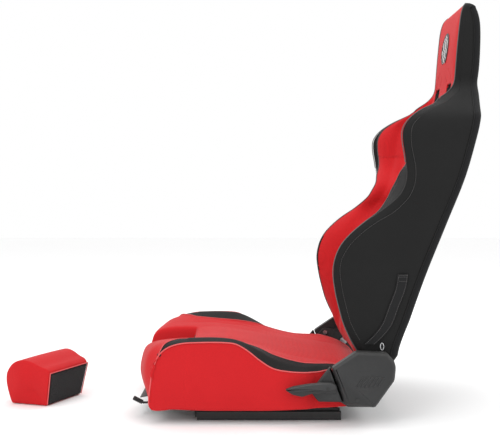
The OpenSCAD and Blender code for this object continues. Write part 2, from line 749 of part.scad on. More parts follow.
module headrest() {
    color([0.82, 0.1, 0.12]) difference() {
        side_plate(-head_half + skin + foam_gap, head_half - skin - foam_gap) polygon(concat(
            moved(curve(back_line([[276, 626.5], [288, 674], [297, 735], [300, 800], [299, 845], [295, 878]])), -head_zone),
            back_line([[268, 892], [260, 894], [252, 888]]),
            reversed(curve(back_line(head_front)))));
        harness_slots(liner + 0.2);
    }
}

module back_shell() {
    torso = concat(curve(back_line(rear_low)));
    head_rear = curve(back_line(rear_high));
    head = concat(head_rear, [back_at([284, 894])], [back_at([268, 898])]);
    color([0.06, 0.06, 0.06]) difference() {
        union() {
            side_plate(-wing_half, wing_half) polygon(concat(torso, reversed(moved(torso, -skin))));
            both_sides() side_plate(wing_half - skin, wing_half)
                polygon(concat(torso, reversed(moved(torso, -frame_zone))));
            side_plate(-head_half, head_half)
                polygon(concat(head, [back_at([268, 894])], reversed(moved(head_rear, -skin))));
            both_sides() side_plate(head_half - skin, head_half) polygon(concat(curve(back_line(flange_high)),
                [back_at([284, 894])], [back_at([268, 898])], reversed(moved(curve(back_line(flange_high)), -frame_zone))));
        }
        harness_slots(liner + 0.2);
        shoulder_slope(0);
    }
}

module harness_slot_liners() {
    x0 = back_at([214, 0])[0];
    x1 = back_at([299, 0])[0];
    color([0.04, 0.04, 0.04]) difference() {
        intersection() {
            harness_slots(liner);
            translate([0, head_half, 0]) rotate([90, 0, 0]) linear_extrude(head_w) polygon(concat(
                moved(curve(back_line([[276, 620], [288, 674], [299, 735]])), 0),
                reversed(moved(curve(back_line([[200, 620], [219, 655], [229, 690], [235, 745]])), 0))));
        }
        harness_slots(0);
    }
}

// Webbing sewn to the lower side of the backrest, which draws the cover down to the frame.
strap_line = [[83, 240], [77, 205], [62, 165], [47, 125], [27, 98], [6, 78]];
strap_w = 24;
module side_strap() {
    line = curve(back_line(strap_line), 4);
    color([0.05, 0.05, 0.05]) side_plate(wing_half, wing_half + 1.6) polygon(concat(
        moved(line, -strap_w / 2), reversed(moved(line, strap_w / 2))));
}

module strap_rings() {
    color([0.75, 0.75, 0.75]) both_sides() translate([pivot[0] + 35, -wing_half - 3.6, pivot[1] + 73])
        rotate([90, 0, 0]) rotate_extrude() translate([8, 0]) circle(r = 1.5, $fn = 24);
}

// Sewn patch on the front of the headrest.
module emblem_patch() {
    a = back_at([234.4, 752]);
    b = back_at([241.5, 828]);
    tilt = atan2(b[0] - a[0], b[1] - a[1]);
    color([0.9, 0.9, 0.9]) translate([(a[0] + b[0]) / 2 - 0.5, 0, (a[1] + b[1]) / 2]) rotate([0, tilt, 0])
        translate([-1.2, -34, -(b[1] - a[1]) / 2]) cube([1.2, 68, b[1] - a[1]]);
}

// --- Thigh insert ------------------------------------------------------------------------------

insert_outline = concat(
    [[-insert_back, 0], [insert_back - panel_t, 0]],
    curve([[insert_back - panel_t + notch_lean * (insert_h - 30), insert_h - 30], [insert_back - 12, insert_h - 14], [insert_back - 38, insert_h - 3],
        [-12, insert_h], [-38, insert_h - 9], [-57, insert_h - 32], [-62, insert_h - 58], [-59, 30], [-insert_back - 3, 6]]));

module insert_taper(shrink) {
    function half(x, z) = insert_w / 2 - shrink + insert_flare_up * z + insert_flare_out * (insert_back - x);
    xs = [[90, 1], [90, -1], [-90, -1], [-90, 1]];
    polyhedron(points = concat([for (p = xs) [p[0], p[1] * half(p[0], 0), -0.001]], [for (p = xs) [p[0], p[1] * half(p[0], 140), 140]]),
        faces = [[3, 2, 1, 0], [4, 5, 6, 7], [0, 1, 5, 4], [1, 2, 6, 5], [2, 3, 7, 6], [3, 0, 4, 7]]);
}

module insert_place() {
    translate([insert_on_floor_x, 0, 0]) rotate([0, 0, -insert_turn]) children();
}

foot_r = 18;
foot_h = 4;
module insert_pad() {
    color([0.8, 0.1, 0.12]) insert_place() difference() {
        intersection() {
            translate([0, 150, 0]) rotate([90, 0, 0]) linear_extrude(300) polygon(insert_outline);
            insert_taper(0);
        }
        translate([0, 0, -1]) cylinder(r = foot_r + 0.3, h = foot_h + 1.3);
    }
}

module insert_foot() {
    color([0.05, 0.05, 0.05]) insert_place() cylinder(r = foot_r, h = foot_h);
}

module insert_loop_panel() {
    z0 = 1.5;
    z1 = insert_h - 31;
    function wall(z) = insert_back + notch_lean * z;
    color([0.04, 0.04, 0.04]) insert_place() intersection() {
        translate([0, 150, 0]) rotate([90, 0, 0]) linear_extrude(300)
            polygon([[wall(z0) - panel_t, z0], [wall(z0), z0], [wall(z1), z1], [wall(z1) - panel_t, z1]]);
        insert_taper(1.5);
    }
}

// --- Nodes -------------------------------------------------------------------------------------

lower_rail();  // lower_rail_left
on_right() lower_rail();  // lower_rail_right
rail_end_stops();
upper_rail();  // upper_rail_left
on_right() upper_rail();  // upper_rail_right
glide_pads();
rail_spacers();
rail_bolts();
base_frame();
seat_pan();
recliner_plate();  // recliner_plate_left
on_right() recliner_plate();  // recliner_plate_right
outer_plate();  // outer_plate_left
on_right() outer_plate();  // outer_plate_right
plate_spacers();
pivot_bolts();
pawl_pins();
clock_spring();  // clock_spring_left
on_right() clock_spring();  // clock_spring_right
recliner_cover();  // recliner_cover_left
on_right() recliner_cover();  // recliner_cover_right
front_trim();  // front_trim_left
on_right() front_trim();  // front_trim_right
cover_screws();
cushion_centre();
thigh_bolster();  // thigh_bolster_left
on_right() thigh_bolster();  // thigh_bolster_right
insert_ramp();
hook_panel();
recline_handle();
handle_screw();
release_shaft();
release_cams();
shaft_retainers();
pawl();  // pawl_left
on_right() pawl();  // pawl_right
slide_release_bar();
slide_release_grip();
slide_locks();
recliner_arm();  // recliner_arm_left
on_right() recliner_arm();  // recliner_arm_right
back_frame();
back_springs();
back_cushion();
back_wing();  // back_wing_left
on_right() back_wing();  // back_wing_right
headrest();
back_shell();
harness_slot_liners();
side_strap();  // side_strap_left
on_right() side_strap();  // side_strap_right
strap_rings();
emblem_patch();
insert_foot();
insert_pad();
insert_loop_panel();
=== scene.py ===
"""Looks of a reclining sports seat: sewn covers, webbing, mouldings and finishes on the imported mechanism."""

import logging
import math
from dataclasses import dataclass, field
from enum import Enum
from typing import Callable, Iterable, Sequence

import bmesh
import bpy
import numpy as np
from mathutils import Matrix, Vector
from mathutils.bvhtree import BVHTree


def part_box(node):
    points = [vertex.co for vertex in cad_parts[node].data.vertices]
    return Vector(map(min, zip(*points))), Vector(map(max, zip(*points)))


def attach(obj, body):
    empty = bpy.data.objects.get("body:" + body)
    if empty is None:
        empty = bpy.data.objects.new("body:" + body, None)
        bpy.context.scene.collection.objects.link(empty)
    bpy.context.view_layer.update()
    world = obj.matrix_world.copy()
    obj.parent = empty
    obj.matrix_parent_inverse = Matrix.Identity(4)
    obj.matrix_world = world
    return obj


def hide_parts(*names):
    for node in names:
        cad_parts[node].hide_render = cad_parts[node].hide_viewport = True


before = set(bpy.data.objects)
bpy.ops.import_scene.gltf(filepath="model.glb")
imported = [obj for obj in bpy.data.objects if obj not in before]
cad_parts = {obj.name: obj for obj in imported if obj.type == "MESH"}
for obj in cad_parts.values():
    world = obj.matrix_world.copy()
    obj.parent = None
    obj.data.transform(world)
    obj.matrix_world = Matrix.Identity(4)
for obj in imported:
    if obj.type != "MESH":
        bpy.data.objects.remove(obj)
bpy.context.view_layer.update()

LOG = logging.getLogger("seat")
MM = 0.001
Point = Sequence[float]


class Side(Enum):
    """Which side of the seat a piece belongs to; the value is the sign of its Y."""

    LEFT = -1
    RIGHT = 1

    @property
    def word(self) -> str:
        """The side's name as it stands in piece names."""
        return self.name.lower()


class Slot(Enum):
    """Material slots of the record."""

    RED = "red_fabric"
    BLACK = "black_fabric"
    SHELL = "shell_fabric"
    COVER = "cover_plastic"
    WEBBING = "webbing"
    TAPE = "tape"
    RUBBER = "rubber"
    PATCH = "patch"
    ZINC = "zinc_steel"
    FRAME = "frame_steel"
    RAIL = "rail_steel"
    GLIDE = "glide_nylon"
    SPRING = "spring_steel"


# --- Shader node groups -----------------------------------------------------------------------


class Nodes:
    """A small builder for node trees."""

    def __init__(self, tree: bpy.types.NodeTree) -> None:
        """Takes the tree that nodes are added to."""
        self.tree = tree

    def add(self, kind: str, inputs: dict[str | int, object] | None = None,
            **settings: object) -> bpy.types.Node:
        """Adds a node.

        Args:
            kind: The node's type name.
            inputs: Socket values or sockets to link from, by input name or index.
            settings: Attributes of the node.

        Returns:
            The new node.
        """
        node = self.tree.nodes.new(kind)
        for key, value in settings.items():
            setattr(node, key, value)
        for key, value in (inputs or {}).items():
            if isinstance(value, bpy.types.NodeSocket):
                self.tree.links.new(value, node.inputs[key])
            else:
                node.inputs[key].default_value = value
        return node

    def math(self, operation: str, a: object, b: object = 0.0) -> bpy.types.NodeSocket:
        """Adds a Math node and returns its result socket."""
        return self.add("ShaderNodeMath", {0: a, 1: b}, operation=operation).outputs[0]

    def mix(self, factor: object, a: object, b: object) -> bpy.types.NodeSocket:
        """Adds a colour mix and returns its result socket."""
        node = self.add("ShaderNodeMix", {0: factor, 6: a, 7: b}, data_type="RGBA")
        return node.outputs[2]


def new_group(name: str, inputs: dict[str, tuple[str, object]],
              outputs: dict[str, str]) -> bpy.types.NodeTree:
    """Makes an empty shader node group.

    Args:
        name: The group's name.
        inputs: Socket kind and default value by input name.
        outputs: Socket kind by output name.

    Returns:
        The group, with its input and output nodes in place.
    """
    tree = bpy.data.node_groups.new(name, "ShaderNodeTree")
    for label, (kind, default) in inputs.items():
        socket = tree.interface.new_socket(label, in_out="INPUT", socket_type=kind)
        socket.default_value = default
    for label, kind in outputs.items():
        tree.interface.new_socket(label, in_out="OUTPUT", socket_type=kind)
    tree.nodes.new("NodeGroupInput")
    tree.nodes.new("NodeGroupOutput")
    return tree


def weave_group() -> bpy.types.NodeTree:
    """Builds the woven cloth: crossing threads, slubs and soft patches.

    Returns:
        The group; it puts out a colour, a height and a roughness.
    """
    tree = new_group(
        "cloth_weave",
        {"Thread": ("NodeSocketColor", (0.6, 0.03, 0.03, 1)),
         "Shadow": ("NodeSocketColor", (0.3, 0.01, 0.01, 1)),
         "Pitch": ("NodeSocketFloat", 900.0), "Patchiness": ("NodeSocketFloat", 0.25),
         "Roughness": ("NodeSocketFloat", 0.8)},
        {"Color": "NodeSocketColor", "Height": "NodeSocketFloat", "Roughness": "NodeSocketFloat"})
    n = Nodes(tree)
    given = tree.nodes["Group Input"].outputs
    place = n.add("ShaderNodeTexCoord").outputs["Object"]
    parts = n.add("ShaderNodeSeparateXYZ", {0: place}).outputs
    across = n.math("ADD", parts[0], n.math("MULTIPLY", parts[1], 1.0))
    warp = n.math("SINE", n.math("MULTIPLY", n.math("ADD", across, parts[2]), given["Pitch"]))
    weft = n.math("SINE", n.math("MULTIPLY", n.math("SUBTRACT", across, parts[2]), given["Pitch"]))
    lattice = n.math("MULTIPLY_ADD", n.math("MULTIPLY", warp, weft), 0.5)
    slub = n.add("ShaderNodeTexNoise",
                 {"Vector": place, "Scale": 420.0, "Detail": 3.0, "Roughness": 0.6}).outputs[0]
    cloud = n.add("ShaderNodeTexNoise",
                  {"Vector": place, "Scale": 9.0, "Detail": 4.0, "Roughness": 0.55}).outputs[0]
    height = n.math("ADD", n.math("MULTIPLY", lattice, 0.6), n.math("MULTIPLY", slub, 0.8))
    tone = n.math("ADD", n.math("MULTIPLY", lattice, 0.22), n.math("MULTIPLY", slub, 0.5))
    tone = n.math("ADD", tone, n.math("MULTIPLY", n.math("SUBTRACT", cloud, 0.5), given["Patchiness"]))
    share = n.add("ShaderNodeClamp", {0: n.math("ADD", tone, 0.25)}).outputs[0]
    out = tree.nodes["Group Output"].inputs
    tree.links.new(n.mix(share, given["Shadow"], given["Thread"]), out["Color"])
    tree.links.new(height, out["Height"])
    rough = n.math("ADD", given["Roughness"], n.math("MULTIPLY", n.math("SUBTRACT", slub, 0.5), 0.25))
    tree.links.new(n.add("ShaderNodeClamp", {0: rough}).outputs[0], out["Roughness"])
    return tree


def grain_group() -> bpy.types.NodeTree:
    """Builds the fine grain of moulded plastic and painted or plated metal, with a little dust.

    Returns:
        The group; it puts out a colour, a height and a roughness.
    """
    tree = new_group(
        "surface_grain",
        {"Base": ("NodeSocketColor", (0.05, 0.05, 0.05, 1)),
         "Dust": ("NodeSocketColor", (0.3, 0.29, 0.27, 1)),
         "Dustiness": ("NodeSocketFloat", 0.15), "Scale": ("NodeSocketFloat", 900.0),
         "Roughness": ("NodeSocketFloat", 0.5),
         "Spread": ("NodeSocketFloat", 0.2)},
        {"Color": "NodeSocketColor", "Height": "NodeSocketFloat", "Roughness": "NodeSocketFloat"})
    n = Nodes(tree)
    given = tree.nodes["Group Input"].outputs
    place = n.add("ShaderNodeTexCoord").outputs["Object"]
    pits = n.add("ShaderNodeTexVoronoi", {"Vector": place, "Scale": given["Scale"]}).outputs["Distance"]
    cloud = n.add("ShaderNodeTexNoise",
                  {"Vector": place, "Scale": 24.0, "Detail": 6.0, "Roughness": 0.65}).outputs[0]
    facing = n.add("ShaderNodeSeparateXYZ", {0: n.add("ShaderNodeNewGeometry").outputs["Normal"]}).outputs[2]
    upward = n.add("ShaderNodeMapRange", {0: facing, 1: 0.2, 2: 1.0}).outputs[0]
    settled = n.math("MULTIPLY", n.math("MULTIPLY", upward, cloud), given["Dustiness"])
    haze = n.math("MULTIPLY", n.math("POWER", cloud, 3.0), n.math("MULTIPLY", given["Dustiness"], 0.5))
    out = tree.nodes["Group Output"].inputs
    share = n.add("ShaderNodeClamp", {0: n.math("ADD", settled, haze)}).outputs[0]
    tree.links.new(n.mix(share, given["Base"], given["Dust"]), out["Color"])
    tree.links.new(n.math("ADD", pits, n.math("MULTIPLY", cloud, 0.4)), out["Height"])
    rough = n.math("ADD", given["Roughness"],
                   n.math("MULTIPLY", n.math("SUBTRACT", cloud, 0.5), given["Spread"]))
    tree.links.new(n.add("ShaderNodeClamp", {0: rough}).outputs[0], out["Roughness"])
    return tree


def wear_group() -> bpy.types.NodeTree:
    """Builds edge wear: a mask along convex edges, broken up by noise.

    Returns:
        The group; it puts out a colour.
    """
    tree = new_group(
        "edge_wear",
        {"Base": ("NodeSocketColor", (0.05, 0.05, 0.05, 1)), "Worn": ("NodeSocketColor", (0.3, 0.3, 0.3, 1)),
         "Amount": ("NodeSocketFloat", 0.5)},
        {"Color": "NodeSocketColor"})
    n = Nodes(tree)
    given = tree.nodes["Group Input"].outputs
    place = n.add("ShaderNodeTexCoord").outputs["Object"]
    edge = n.add("ShaderNodeMapRange",
                 {0: n.add("ShaderNodeNewGeometry").outputs["Pointiness"], 1: 0.505, 2: 0.56}).outputs[0]
    broken = n.add("ShaderNodeTexNoise", {"Vector": place, "Scale": 160.0, "Detail": 4.0}).outputs[0]
    mask = n.math("MULTIPLY", n.math("MULTIPLY", edge, broken), given["Amount"])
    tree.links.new(n.mix(n.add("ShaderNodeClamp", {0: mask}).outputs[0], given["Base"], given["Worn"]),
                   tree.nodes["Group Output"].inputs["Color"])
    return tree


class Groups:
    """The shared node groups, each built once."""

    made: dict[str, bpy.types.NodeTree] = {}

    @classmethod
    def get(cls, build: Callable[[], bpy.types.NodeTree]) -> bpy.types.NodeTree:
        """Returns the group that build makes, building it the first time."""
        if build.__name__ not in cls.made:
            cls.made[build.__name__] = build()
        return cls.made[build.__name__]


# --- Finishes ---------------------------------------------------------------------------------


def rgb(r: float, g: float, b: float) -> tuple[float, float, float, float]:
    """Turns display values from 0 to 255 into a linear colour."""
    def linear(v: float) -> float:
        v /= 255
        return v / 12.92 if v <= 0.04045 else ((v + 0.055) / 1.055) ** 2.4
    return (linear(r), linear(g), linear(b), 1.0)


def new_material(name: str) -> tuple[bpy.types.Material, Nodes, bpy.types.Node]:
    """Makes a material with an empty Principled shader and returns it, its builder and the shader."""
    material = bpy.data.materials.new(name)
    material.use_nodes = True
    return material, Nodes(material.node_tree), material.node_tree.nodes["Principled BSDF"]


@dataclass(frozen=True)
class Cloth:
    """Woven cover fabric."""

    name: str
    thread: tuple[float, float, float, float]
    shadow: tuple[float, float, float, float]
    pitch: float = 1500.0
    patchiness: float = 0.3
    roughness: float = 0.85
    sheen: float = 0.1
    relief: float = 0.5

    def make(self) -> bpy.types.Material:
        """Builds the material and returns it."""
        material, n, shader = new_material(self.name)
        weave = n.add("ShaderNodeGroup")
        weave.node_tree = Groups.get(weave_group)
        for key, value in (("Thread", self.thread), ("Shadow", self.shadow), ("Pitch", self.pitch),
                           ("Patchiness", self.patchiness), ("Roughness", self.roughness)):
            weave.inputs[key].default_value = value
        bump = n.add("ShaderNodeBump",
                     {"Strength": self.relief, "Distance": 0.0006, "Height": weave.outputs["Height"]})
        links = material.node_tree.links
        links.new(weave.outputs["Color"], shader.inputs["Base Color"])
        links.new(weave.outputs["Roughness"], shader.inputs["Roughness"])
        links.new(bump.outputs[0], shader.inputs["Normal"])
        shader.inputs["Sheen Weight"].default_value = self.sheen
        shader.inputs["Sheen Roughness"].default_value = 0.45
        shader.inputs["Specular IOR Level"].default_value = 0.14
        return material


@dataclass(frozen=True)
class Hard:
    """Moulded plastic, rubber, painted or plated metal."""

    name: str
    base: tuple[float, float, float, float]
    worn: tuple[float, float, float, float]
    roughness: float = 0.45
    metallic: float = 0.0
    grain: float = 900.0
    relief: float = 0.15
    dust: float = 0.12
    wear: float = 0.5

    def make(self) -> bpy.types.Material:
        """Builds the material and returns it."""
        material, n, shader = new_material(self.name)
        wear = n.add("ShaderNodeGroup")
        wear.node_tree = Groups.get(wear_group)
        for key, value in (("Base", self.base), ("Worn", self.worn), ("Amount", self.wear)):
            wear.inputs[key].default_value = value
        grain = n.add("ShaderNodeGroup")
        grain.node_tree = Groups.get(grain_group)
        for key, value in (("Dustiness", self.dust), ("Scale", self.grain), ("Roughness", self.roughness)):
            grain.inputs[key].default_value = value
        links = material.node_tree.links
        links.new(wear.outputs["Color"], grain.inputs["Base"])
        bump = n.add("ShaderNodeBump",
                     {"Strength": self.relief, "Distance": 0.0003, "Height": grain.outputs["Height"]})
        links.new(grain.outputs["Color"], shader.inputs["Base Color"])
        links.new(grain.outputs["Roughness"], shader.inputs["Roughness"])
        links.new(bump.outputs[0], shader.inputs["Normal"])
        shader.inputs["Metallic"].default_value = self.metallic
        return material


@dataclass(frozen=True)
class Chequer:
    """The woven patch on the headrest: small light and dark squares."""

    name: str
    light: tuple[float, float, float, float]
    dark: tuple[float, float, float, float]
    squares: float = 95.0

    def make(self) -> bpy.types.Material:
        """Builds the material and returns it."""
        material, n, shader = new_material(self.name)
        place = n.add("ShaderNodeTexCoord").outputs["Object"]
        parts = n.add("ShaderNodeSeparateXYZ", {0: place}).outputs
        flat = n.add("ShaderNodeCombineXYZ",
                     {0: n.math("ADD", parts[1], 0.0005), 1: parts[2], 2: 0.003}).outputs[0]
        squares = n.add("ShaderNodeTexChecker",
                        {"Vector": flat, "Color1": self.light, "Color2": self.dark, "Scale": self.squares})
        fuzz = n.add("ShaderNodeTexNoise", {"Vector": place, "Scale": 700.0, "Detail": 2.0}).outputs[0]
        shade = n.mix(n.math("MULTIPLY", fuzz, 0.35), squares.outputs[0], self.dark)
        bump = n.add("ShaderNodeBump", {"Strength": 0.4, "Distance": 0.0004, "Height": fuzz})
        material.node_tree.links.new(shade, shader.inputs["Base Color"])
        material.node_tree.links.new(bump.outputs[0], shader.inputs["Normal"])
        shader.inputs["Roughness"].default_value = 0.75
        return material


BLACK_THREAD, BLACK_GROUND = rgb(36, 36, 36), rgb(17, 17, 17)


class Finishes:
    """Every finish of the seat, made when it is first asked for."""

    LIST = {
        "red": Cloth("red_cloth", rgb(208, 36, 40), rgb(156, 20, 25), pitch=1400.0),
        # Piping cords: their pale pink, far lighter than the red cloth, is a painted highlight along the piped
        # edges; the cords themselves are real.
        "pink_cord_painted_highlight": Cloth("red_piping_cloth", rgb(226, 104, 104), rgb(190, 66, 70), pitch=2600.0,
                            relief=0.3),
        "black": Cloth("black_cloth", BLACK_THREAD, BLACK_GROUND, sheen=0.05),
        # Piping cords on the black wings: their light grey is a painted highlight along the edges; the cords
        # themselves are real.
        "pale_cord_painted_highlight": Cloth("grey_piping_cloth", rgb(104, 102, 102), rgb(66, 64, 64), pitch=2600.0,
                             relief=0.3),
        "shell": Cloth("shell_cloth", rgb(32, 32, 33), rgb(15, 15, 16), pitch=1100.0, sheen=0.04),
        "webbing": Cloth("strap_webbing", rgb(36, 36, 37), rgb(14, 14, 15), pitch=1900.0, roughness=0.7,
                         relief=0.9),
        "tape": Cloth("hook_tape", rgb(34, 34, 35), rgb(8, 8, 9), pitch=3400.0, roughness=0.95, relief=1.0),
        "thread": Cloth("sewing_thread", rgb(96, 94, 94), rgb(60, 58, 58), pitch=5200.0, roughness=0.6),
        "red_thread": Cloth("red_sewing_thread", rgb(196, 34, 38), rgb(140, 20, 24), pitch=5200.0,
                            roughness=0.6),
        "cover": Hard("charcoal_moulding", rgb(19, 20, 21), rgb(60, 60, 61), roughness=0.5, grain=1400.0),
        "lever": Hard("lever_moulding", rgb(34, 35, 36), rgb(80, 80, 81), roughness=0.42, grain=1600.0),
        "recess": Hard("recess_moulding", rgb(28, 28, 29), rgb(50, 50, 50), roughness=0.6, grain=1600.0),
        "rubber": Hard("grip_rubber", rgb(30, 30, 31), rgb(60, 60, 60), roughness=0.65, grain=2200.0,
                       relief=0.4, wear=0.2),
        "rail": Hard("black_rail_steel", rgb(9, 9, 10), rgb(52, 52, 51), roughness=0.5, metallic=0.0,
                     relief=0.08, wear=0.5, dust=0.03),
        "frame": Hard("powder_coated_steel", rgb(34, 34, 36), rgb(90, 88, 86), roughness=0.5, metallic=0.3,
                      relief=0.2),
        "zinc": Hard("zinc_plated_steel", rgb(186, 188, 190), rgb(220, 220, 220), roughness=0.28,
                     metallic=1.0, relief=0.06, dust=0.05),
        "spring": Hard("spring_steel_wire", rgb(120, 122, 126), rgb(170, 170, 172), roughness=0.35,
                       metallic=0.9, relief=0.06),
        "nylon": Hard("natural_nylon", rgb(205, 202, 190), rgb(220, 218, 208), roughness=0.5, relief=0.1,
                      wear=0.2),
        "patch": Chequer("chequered_patch", rgb(214, 214, 212), rgb(40, 40, 42)),
    }
    made: dict[str, bpy.types.Material] = {}

    @classmethod
    def get(cls, name: str) -> bpy.types.Material:
        """Returns the finish of that name."""
        if name not in cls.made:
            cls.made[name] = cls.LIST[name].make()
        return cls.made[name]


# --- Mesh tools -------------------------------------------------------------------------------


def new_object(name: str, points: Iterable[Point], faces: Iterable[Sequence[int]],
               smooth: bool = True) -> bpy.types.Object:
    """Makes a mesh object from points in millimetres.

    Args:
        name: The piece's name.
        points: The vertices, in millimetres.
        faces: The faces, as vertex numbers.
        smooth: Whether the faces are shaded smooth.

    Returns:
        The object, linked to the scene.
    """
    mesh = bpy.data.meshes.new(name)
    mesh.from_pydata([tuple(float(c) * MM for c in p) for p in points], [],
                     [tuple(int(i) for i in f) for f in faces])
    bm = bmesh.new()
    bm.from_mesh(mesh)
    bmesh.ops.remove_doubles(bm, verts=bm.verts, dist=0.00002)
    bmesh.ops.recalc_face_normals(bm, faces=bm.faces)
    bm.to_mesh(mesh)
    bm.free()
    mesh.polygons.foreach_set("use_smooth", [smooth] * len(mesh.polygons))
    obj = bpy.data.objects.new(name, mesh)
    bpy.context.scene.collection.objects.link(obj)
    return obj


def apply_modifiers(obj: bpy.types.Object) -> None:
    """Bakes obj's modifiers into its mesh."""
    graph = bpy.context.evaluated_depsgraph_get()
    mesh = bpy.data.meshes.new_from_object(obj.evaluated_get(graph))
    obj.modifiers.clear()
    obj.data = mesh


def dress(obj: bpy.types.Object, finish: str, slot: Slot, body: str,
          replaces: Sequence[str] = ()) -> bpy.types.Object:
    """Gives a piece its finish, its body and the nodes it stands for.

    Args:
        obj: The piece.
        finish: A name in Finishes.LIST.
        slot: The record's material slot; not used.
        body: The body that it rides on.
        replaces: The nodes that it stands for.

    Returns:
        The piece.
    """
    obj.data.materials.clear()
    obj.data.materials.append(Finishes.get(finish))
    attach(obj, body)
    if replaces:
        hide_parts(*replaces)
    LOG.info("piece %s on %s", obj.name, body)
    return obj


def spline(points: Sequence[Point], steps: int) -> np.ndarray:
    """Samples a smooth curve through points, with steps samples to a span."""
    p = np.asarray(points, float)
    out = []
    for i in range(len(p) - 1):
        a, b, c, d = p[max(i - 1, 0)], p[i], p[i + 1], p[min(i + 2, len(p) - 1)]
        for j in range(steps):
            t = j / steps
            out.append(0.5 * (2 * b + (c - a) * t + (2 * a - 5 * b + 4 * c - d) * t * t
                              + (3 * b - a - 3 * c + d) * t ** 3))
    out.append(p[-1])
    return np.array(out)


def evenly(points: np.ndarray, pitch: float) -> np.ndarray:
    """Resamples a polyline at an even pitch, in its own units."""
    p = np.asarray(points, float)
    run = np.concatenate([[0], np.cumsum(np.linalg.norm(np.diff(p, axis=0), axis=1))])
    count = max(2, int(round(run[-1] / pitch)) + 1)
    marks = np.linspace(0, run[-1], count)
    return np.stack([np.interp(marks, run, p[:, k]) for k in range(p.shape[1])], axis=1)


def tube(name: str, lines: Sequence[np.ndarray], radius: float, sides: int = 8,
         flat: float = 1.0) -> bpy.types.Object:
    """Sweeps round cords with closed ends along lines, all in one mesh.

    Args:
        name: The piece's name.
        lines: The centre lines, in millimetres.
        radius: The cords' radius in millimetres.
        sides: The number of sides.
        flat: How much the section is flattened along its second axis.

    Returns:
        The object.
    """
    points: list[np.ndarray] = []
    faces: list[tuple[int, ...]] = []
    for line in lines:
        p = np.asarray(line, float)
        tangents = np.gradient(p, axis=0)
        tangents /= np.linalg.norm(tangents, axis=1)[:, None] + 1e-12
        up = np.array([0.0, 1.0, 0.0]) if abs(tangents[0][1]) < 0.9 else np.array([1.0, 0.0, 0.0])
        base = len(points)
        for q, t in zip(p, tangents):
            side = np.cross(t, up)
            side /= np.linalg.norm(side) + 1e-12
            up = np.cross(side, t)
            for k in range(sides):
                a = 2 * math.pi * k / sides
                points.append(q + radius * (math.cos(a) * side + flat * math.sin(a) * up))
        n = len(p)
        for i in range(n - 1):
            for k in range(sides):
                a, b = base + i * sides + k, base + i * sides + (k + 1) % sides
                faces.append((a, b, b + sides, a + sides))
        faces.append(tuple(base + k for k in reversed(range(sides))))
        faces.append(tuple(base + (n - 1) * sides + k for k in range(sides)))
    return new_object(name, points, faces)


def stitches(name: str, lines: Sequence[np.ndarray], pitch: float = 5.0, length: float = 3.4,
             radius: float = 0.45) -> bpy.types.Object:
    """Lays a row of short thread stitches along each line, in one mesh.

    Args:
        name: The piece's name.
        lines: The seam lines, in millimetres.
        pitch: The distance from one stitch to the next.
        length: The length of a stitch.
        radius: The thread's radius.

    Returns:
        The object.
    """
    cords = []
    for line in lines:
        marks = evenly(line, pitch)
        for a, b in zip(marks[:-1], marks[1:]):
            d = (b - a) / (np.linalg.norm(b - a) + 1e-9)
            m = (a + b) / 2
            cords.append(np.array([m - d * length / 2, m - d * length * 0.3, m + d * length * 0.3,
                                   m + d * length / 2]))
    return tube(name, cords, radius, sides=5)


def offset_outline(outline: np.ndarray, distance: float) -> np.ndarray:
    """Moves a closed counter-clockwise outline inwards by distance."""
    p = np.asarray(outline, float)
    before, after = np.roll(p, 1, axis=0), np.roll(p, -1, axis=0)
    def normal(a: np.ndarray, b: np.ndarray) -> np.ndarray:
        d = b - a
        n = np.stack([-d[:, 1], d[:, 0]], axis=1)
        return n / (np.linalg.norm(n, axis=1)[:, None] + 1e-12)
    n1, n2 = normal(before, p), normal(p, after)
    m = n1 + n2
    m /= np.maximum(np.linalg.norm(m, axis=1)[:, None], 1e-9)
    scale = 1 / np.maximum((m * n1).sum(1), 0.5)
    return p + m * (distance * scale)[:, None]


def rounded(outline: Sequence[Point], radius: float, steps: int = 5) -> np.ndarray:
    """Rounds the corners of a closed outline and makes it counter-clockwise."""
    p = np.asarray(outline, float)
    area = np.sum(p[:, 0] * np.roll(p[:, 1], -1) - np.roll(p[:, 0], -1) * p[:, 1])
    if area < 0:
        p = p[::-1]
    out = []
    for i in range(len(p)):
        a, b, c = p[i - 1], p[i], p[(i + 1) % len(p)]
        u, v = a - b, c - b
        r = min(radius, 0.45 * np.linalg.norm(u), 0.45 * np.linalg.norm(v))
        s, e = b + u / np.linalg.norm(u) * r, b + v / np.linalg.norm(v) * r
        for j in range(steps + 1):
            t = j / steps
            out.append((1 - t) ** 2 * s + 2 * t * (1 - t) * b + t * t * e)
    return np.array(out)


def plate(name: str, outline: Sequence[Point], inner: float, outer: float, side: Side, bevel: float,
          radius: float = 3.0,
          edge_steps: int = 4) -> bpy.types.Object:
    """Makes a moulded plate in side view, with rounded corners and a bevelled outer rim.

    Args:
        name: The piece's name.
        outline: The outline as [x, z], in millimetres.
        inner: The distance of its inner face from the middle plane.
        outer: The distance of its outer face from the middle plane.
        side: The side of the seat.
        bevel: The width of the rim's bevel.
        radius: The radius of the corners.
        edge_steps: The steps that round the bevel off.

    Returns:
        The object.
    """
    base = rounded(outline, radius)
    rings = [(0.4, inner), (0.0, inner + 0.4), (0.0, outer - bevel)]
    for j in range(1, edge_steps + 1):
        t = j / edge_steps
        rings.append((bevel * (0.85 * t + 0.15 * t * t), outer - bevel + bevel * (1 - (1 - t) ** 1.6)))
    rings.append((bevel + min(1.6, 0.4 * bevel), outer))
    points, faces = [], []
    count = len(base)
    for inset, y in rings:
        for x, z in offset_outline(base, inset):
            points.append((x, side.value * y, z))
    for i in range(len(rings) - 1):
        for k in range(count):
            a, b = i * count + k, i * count + (k + 1) % count
            faces.append((a, b, b + count, a + count))
    faces.append(tuple(range(count)))
    faces.append(tuple((len(rings) - 1) * count + k for k in range(count)))
    return new_object(name, points, faces, smooth=False)


